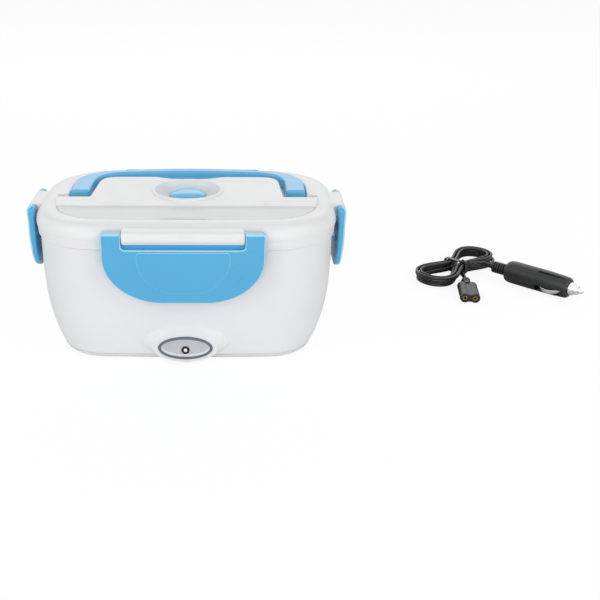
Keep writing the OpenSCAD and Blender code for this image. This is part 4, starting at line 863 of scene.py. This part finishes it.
# ---------------------------------------------------------------- handle, spoon cover and vent plug
def make_handle():
    outer, inner = bail(90.5, -1, 62.5, 34, 6), bail(75.5, -1, 53, 24, 4)
    corners = [(x, y, 0) for x, y in outer[2:]] + [(*outer[0], 3), (*inner[0], 3)]
    corners += [(x, y, 0) for x, y in inner[2:][::-1]] + [(*inner[1], 3), (*outer[1], 3)]
    handle = make("handle", *stack(grown(rounded(corners)), foot_edge(102.2, 1.4) + top_edge(110.4, 2.2, 6)))
    # its ends are rounded below, to turn about their pins
    under = [(3, 101), (-2.2, 101)] + arc(-2.2, 105.4, 3.2, 270, 360, 8) + [(3, 105.4)]
    combine(handle, "DIFFERENCE", scratch(stack(grown(under), [(0, -95), (0, 95)]), pose=ALONG))
    for s in (-1, 1):
        stub = stack(oval(2, 2, *HANDLE_PIN, 32), [(0, 88), (0, 94.1), (-0.4, 94.5)])
        combine(handle, "UNION", scratch(stub, pose=to_side(s)))
    tidy(handle, 40)
    declare(handle, "handle", "blue_soft", "handle")


def make_spoon_cover():
    steps = foot_edge(105.2, 0.3, 2) + top_edge(FRAME_Z, 0.5)
    cover = make("spoon_cover", *stack(crescent(15.3, -30.8), steps))
    notch_steps = [(0, 104), (0, 106.1), (0.2, 106.6), (0.7, 107), (0.7, 109)]
    combine(cover, "DIFFERENCE", scratch(stack(oval(18, 4, 0, -60.9, 96), notch_steps)))
    tidy(cover)
    declare(cover, "spoon_cover", "white_trim", "spoon_cover")


def make_vent_plug():
    dome = [(14.3 * cos(a), 106.6 + 4.2 * sin(a)) for a in (radians(90 * k / 14) for k in range(15))]
    stem = [(0, 99), (6.9, 99), (7.4, 99.4), (7.7, 100), (7.7, 104.3), (13.4, 104.3), (14, 104.7),
            (14.3, 105.5)]
    make("vent_plug", *lathe(stem + dome, 96), "vent_plug", "blue_soft", "vent_plug", pose=DISH_AT)


# ---------------------------------------------------------------- clips
# radius of a clip's round top about its pivot, and how far its panel stands out
EYE_R, PANEL_T = 3.3, 0.5
# a clip is first a flat plate so thick, cut in strips at these heights and then bent
FLAT_T = 100
STRIPS = (3.0, 2.6, 2.0, 1.1, 0, -2.5, -5, -9.6, -12, -15, -18, -20, -22, -24, -26, -28, -32, -37, -42, -46,
          -49)


def front_of(w):
    """How far a clip's front stands out from its pivot at height w."""
    if w > 0:
        return sqrt(max(0.3, EYE_R ** 2 - w * w))
    u = max(0.0, -18 - w)
    bend = 0.0055 * u * u if u < 10 else 0.55 + 0.07 * (u - 10)
    return EYE_R - PANEL_T * min(1.0, -w / 9.6) - bend


def back_of(w):
    """How far its back does."""
    if w > 0:
        return -sqrt(max(0.3, EYE_R ** 2 - w * w))
    return -EYE_R + 1.2 * min(1.0, -w / 5.0) - 0.07 * max(0, -28 - w)


def lower_corner(half, drop, a, b, steps):
    """A quarter of an ellipse, from the right side down to the lowest point."""
    turns = [-pi / 2 * k / steps for k in range(steps + 1)]
    return [(half - a + a * cos(t), b - drop + b * sin(t)) for t in turns]


def clip_outline(half, drop, a, b):
    right = [(half, EYE_R, 3.8)] + [(x, y, 0) for x, y in lower_corner(half, drop, a, b, 28)]
    return grown(rounded(mirrored(right)))


def notch_outline(half, ear):
    """The opening between a clip's ears, which takes the lid's tab."""
    return grown(mirrored(arc(half - ear - 2.6, -7.0, 2.6, 270, 360, 8) + [(half - ear, 8)]))


def panel_outline(half, drop, a, b):
    return grown(mirrored(arc(half - 2.5, -13.9, 2.5, 90, 0, 6) + lower_corner(half, drop, a, b, 20)))


def bent(plate):
    """Points and faces of a flat plate, cut in strips and bent onto a clip's front and back."""
    work = bmesh.new()
    work.from_mesh(plate.data)
    bpy.data.objects.remove(plate)
    flat = [face for face in work.faces if abs(face.normal.z) > 0.99]
    bmesh.ops.triangulate(work, faces=flat, ngon_method="EAR_CLIP")
    for w in STRIPS:
        bmesh.ops.bisect_plane(work, geom=work.verts[:] + work.edges[:] + work.faces[:],
                               plane_co=(0, w * MM, 0), plane_no=(0, 1, 0), dist=1e-7)
    points = []
    for vertex in work.verts:
        x, w, z = vertex.co / MM
        front, back = front_of(w), back_of(w)
        share = min(1.0, (front - back) / 2.3)
        points.append((x, -(front - (FLAT_T - z) * share if z > FLAT_T / 2 else back + z * share), w))
    work.verts.index_update()
    faces = [[v.index for v in face.verts] for face in work.faces]
    work.free()
    return points, faces


def make_clip(side, outline, notch, panel, hook_half, pin_x):
    name, place = "clip_" + side, at_side(side)
    plate = scratch(stack(outline, foot_edge(0, 1.0) + top_edge(FLAT_T, 1.3)))
    panel_steps = [(0, FLAT_T - 1.5), (0, FLAT_T)] + top_edge(FLAT_T + PANEL_T, 0.45)
    combine(plate, "UNION", scratch(stack(panel, panel_steps)))
    clip = make(name, *bent(plate), pose=place)
    # the notch is cut after the bend, with its front edge rounded
    rim = [(1.0 - cos(t), 1.8 + sin(t)) for t in (pi / 12 * k for k in range(7))]
    combine(clip, "DIFFERENCE", scratch(stack(notch, [(0, -6)] + rim + [(1.0, 6)]), pose=place @ FRONT))
    hook = box(-hook_half, hook_half, 1.4, 3.1, -27.4, -25)
    web = box(-pin_x, pin_x, 0.9, 2.0, -10.5, -6.6)
    pins = [pin(s, pin_x - 6, pin_x, 1.9) for s in (-1, 1)]
    combine(clip, "UNION", *[scratch(part, pose=place) for part in (hook, web, *pins)])
    tidy(clip, 40)
    # the rounded edges round the clip's front get the painted highlight
    paint_highlight(clip, place.to_3x3() @ Vector((0, -1, 0)))
    declare(clip, name, "blue_gloss", name)


make_handle()
make_spoon_cover()
make_vent_plug()
long_shape = (clip_outline(57.5, 51, 42, 35), notch_outline(57.5, 14), panel_outline(33, 43, 26, 27),
              38.5, 44.5)
short_shape = (clip_outline(26, 47, 16, 18), notch_outline(26, 9), panel_outline(15, 34, 10, 14), 12, 18)
make_clip("front", *long_shape)
make_clip("back", *long_shape)
make_clip("left", *short_shape)
make_clip("right", *short_shape)


# ---------------------------------------------------------------- the other pieces keep their solids
for part in frame["record"]["subparts"]:
    solid = frame["nodes"][part["node"]]
    solid.data.materials.clear()
    solid.data.materials.append(SKINS[part["material_slot"]])
    for face in solid.data.polygons:
        face.use_smooth = True
    solid.modifiers.new("weld", "WELD").merge_threshold = WELD
    split = solid.modifiers.new("split", "EDGE_SPLIT")
    split.split_angle = radians(32)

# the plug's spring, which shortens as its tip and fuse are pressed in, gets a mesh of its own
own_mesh(frame["nodes"]["tip_spring"])


# ---------------------------------------------------------------- floor, light and surroundings
WHITE = (1, 1, 1, 1)
# the share of the floor that only the camera sees glow, and how bright
GLOW_SHARE, GLOW = 0.85, 1.05
# the surroundings as the camera, soft light and reflections get them
WORLD_SEEN, WORLD_SOFT, WORLD_MIRRORED = 1.0, 0.54, 1.2


def make_floor():
    """A white floor that looks lit evenly and still takes a soft shadow."""
    bpy.ops.mesh.primitive_plane_add(size=8, location=(0, 0, 0))
    floor = bpy.context.object
    floor.name = "floor"
    skin = bpy.data.materials.new("floor")
    skin.use_nodes = True
    nodes, links = skin.node_tree.nodes, skin.node_tree.links
    paper = nodes["Principled BSDF"]
    paper.inputs["Base Color"].default_value = (0.9, 0.9, 0.9, 1)
    paper.inputs["Roughness"].default_value = 0.9
    paper.inputs["Specular IOR Level"].default_value = 0.0
    glow = nodes.new("ShaderNodeEmission")
    glow.inputs["Color"].default_value = WHITE
    glow.inputs["Strength"].default_value = GLOW
    path = nodes.new("ShaderNodeLightPath")
    share = nodes.new("ShaderNodeMath")
    share.operation = "MULTIPLY"
    share.inputs[1].default_value = GLOW_SHARE
    mixer = nodes.new("ShaderNodeMixShader")
    links.new(path.outputs["Is Camera Ray"], share.inputs[0])
    links.new(share.outputs["Value"], mixer.inputs["Fac"])
    links.new(paper.outputs["BSDF"], mixer.inputs[1])
    links.new(glow.outputs["Emission"], mixer.inputs[2])
    links.new(mixer.outputs["Shader"], nodes["Material Output"].inputs["Surface"])
    floor.data.materials.append(skin)


def make_world():
    """Plain surroundings: a bright studio in reflections, and a soft light on everything else."""
    world = bpy.data.worlds.new("world")
    world.use_nodes = True
    nodes, links = world.node_tree.nodes, world.node_tree.links
    seen = nodes["Background"]
    seen.inputs["Color"].default_value = WHITE
    seen.inputs["Strength"].default_value = WORLD_SEEN
    lit = nodes.new("ShaderNodeBackground")
    lit.inputs["Color"].default_value = WHITE
    path = nodes.new("ShaderNodeLightPath")
    strength = nodes.new("ShaderNodeMapRange")
    strength.inputs["To Min"].default_value = WORLD_SOFT
    strength.inputs["To Max"].default_value = WORLD_MIRRORED
    links.new(path.outputs["Is Glossy Ray"], strength.inputs["Value"])
    links.new(strength.outputs["Result"], lit.inputs["Strength"])
    mixer = nodes.new("ShaderNodeMixShader")
    links.new(path.outputs["Is Camera Ray"], mixer.inputs["Fac"])
    links.new(lit.outputs["Background"], mixer.inputs[1])
    links.new(seen.outputs["Background"], mixer.inputs[2])
    links.new(mixer.outputs["Shader"], nodes["World Output"].inputs["Surface"])
    bpy.context.scene.world = world


def make_light(name, place, aim, width, height, power):
    """A rectangular lamp: places and sizes in metres, and power in watts."""
    data = bpy.data.lights.new(name, "AREA")
    data.shape = "RECTANGLE"
    data.size, data.size_y, data.energy = width, height, power
    light = bpy.data.objects.new(name, data)
    light.location = place
    light.rotation_euler = (Vector(aim) - Vector(place)).to_track_quat("-Z", "Y").to_euler()
    bpy.context.collection.objects.link(light)


make_floor()
make_world()
make_light("key", (-1.1, -0.8, 0.9), (0, 0, 0.05), 0.8, 0.9, 3.6)
make_light("fill", (1.2, -0.7, 0.9), (0, 0, 0.05), 0.8, 0.9, 3.6)
make_light("front", (0, -1.6, 0.25), (0, 0, 0.06), 2.4, 0.5, 7.4)
make_light("rim", (0.0, 1.5, 0.9), (0, 0, 0.1), 1.6, 0.5, 3.5)
bpy.context.scene.view_settings.view_transform = "Standard"
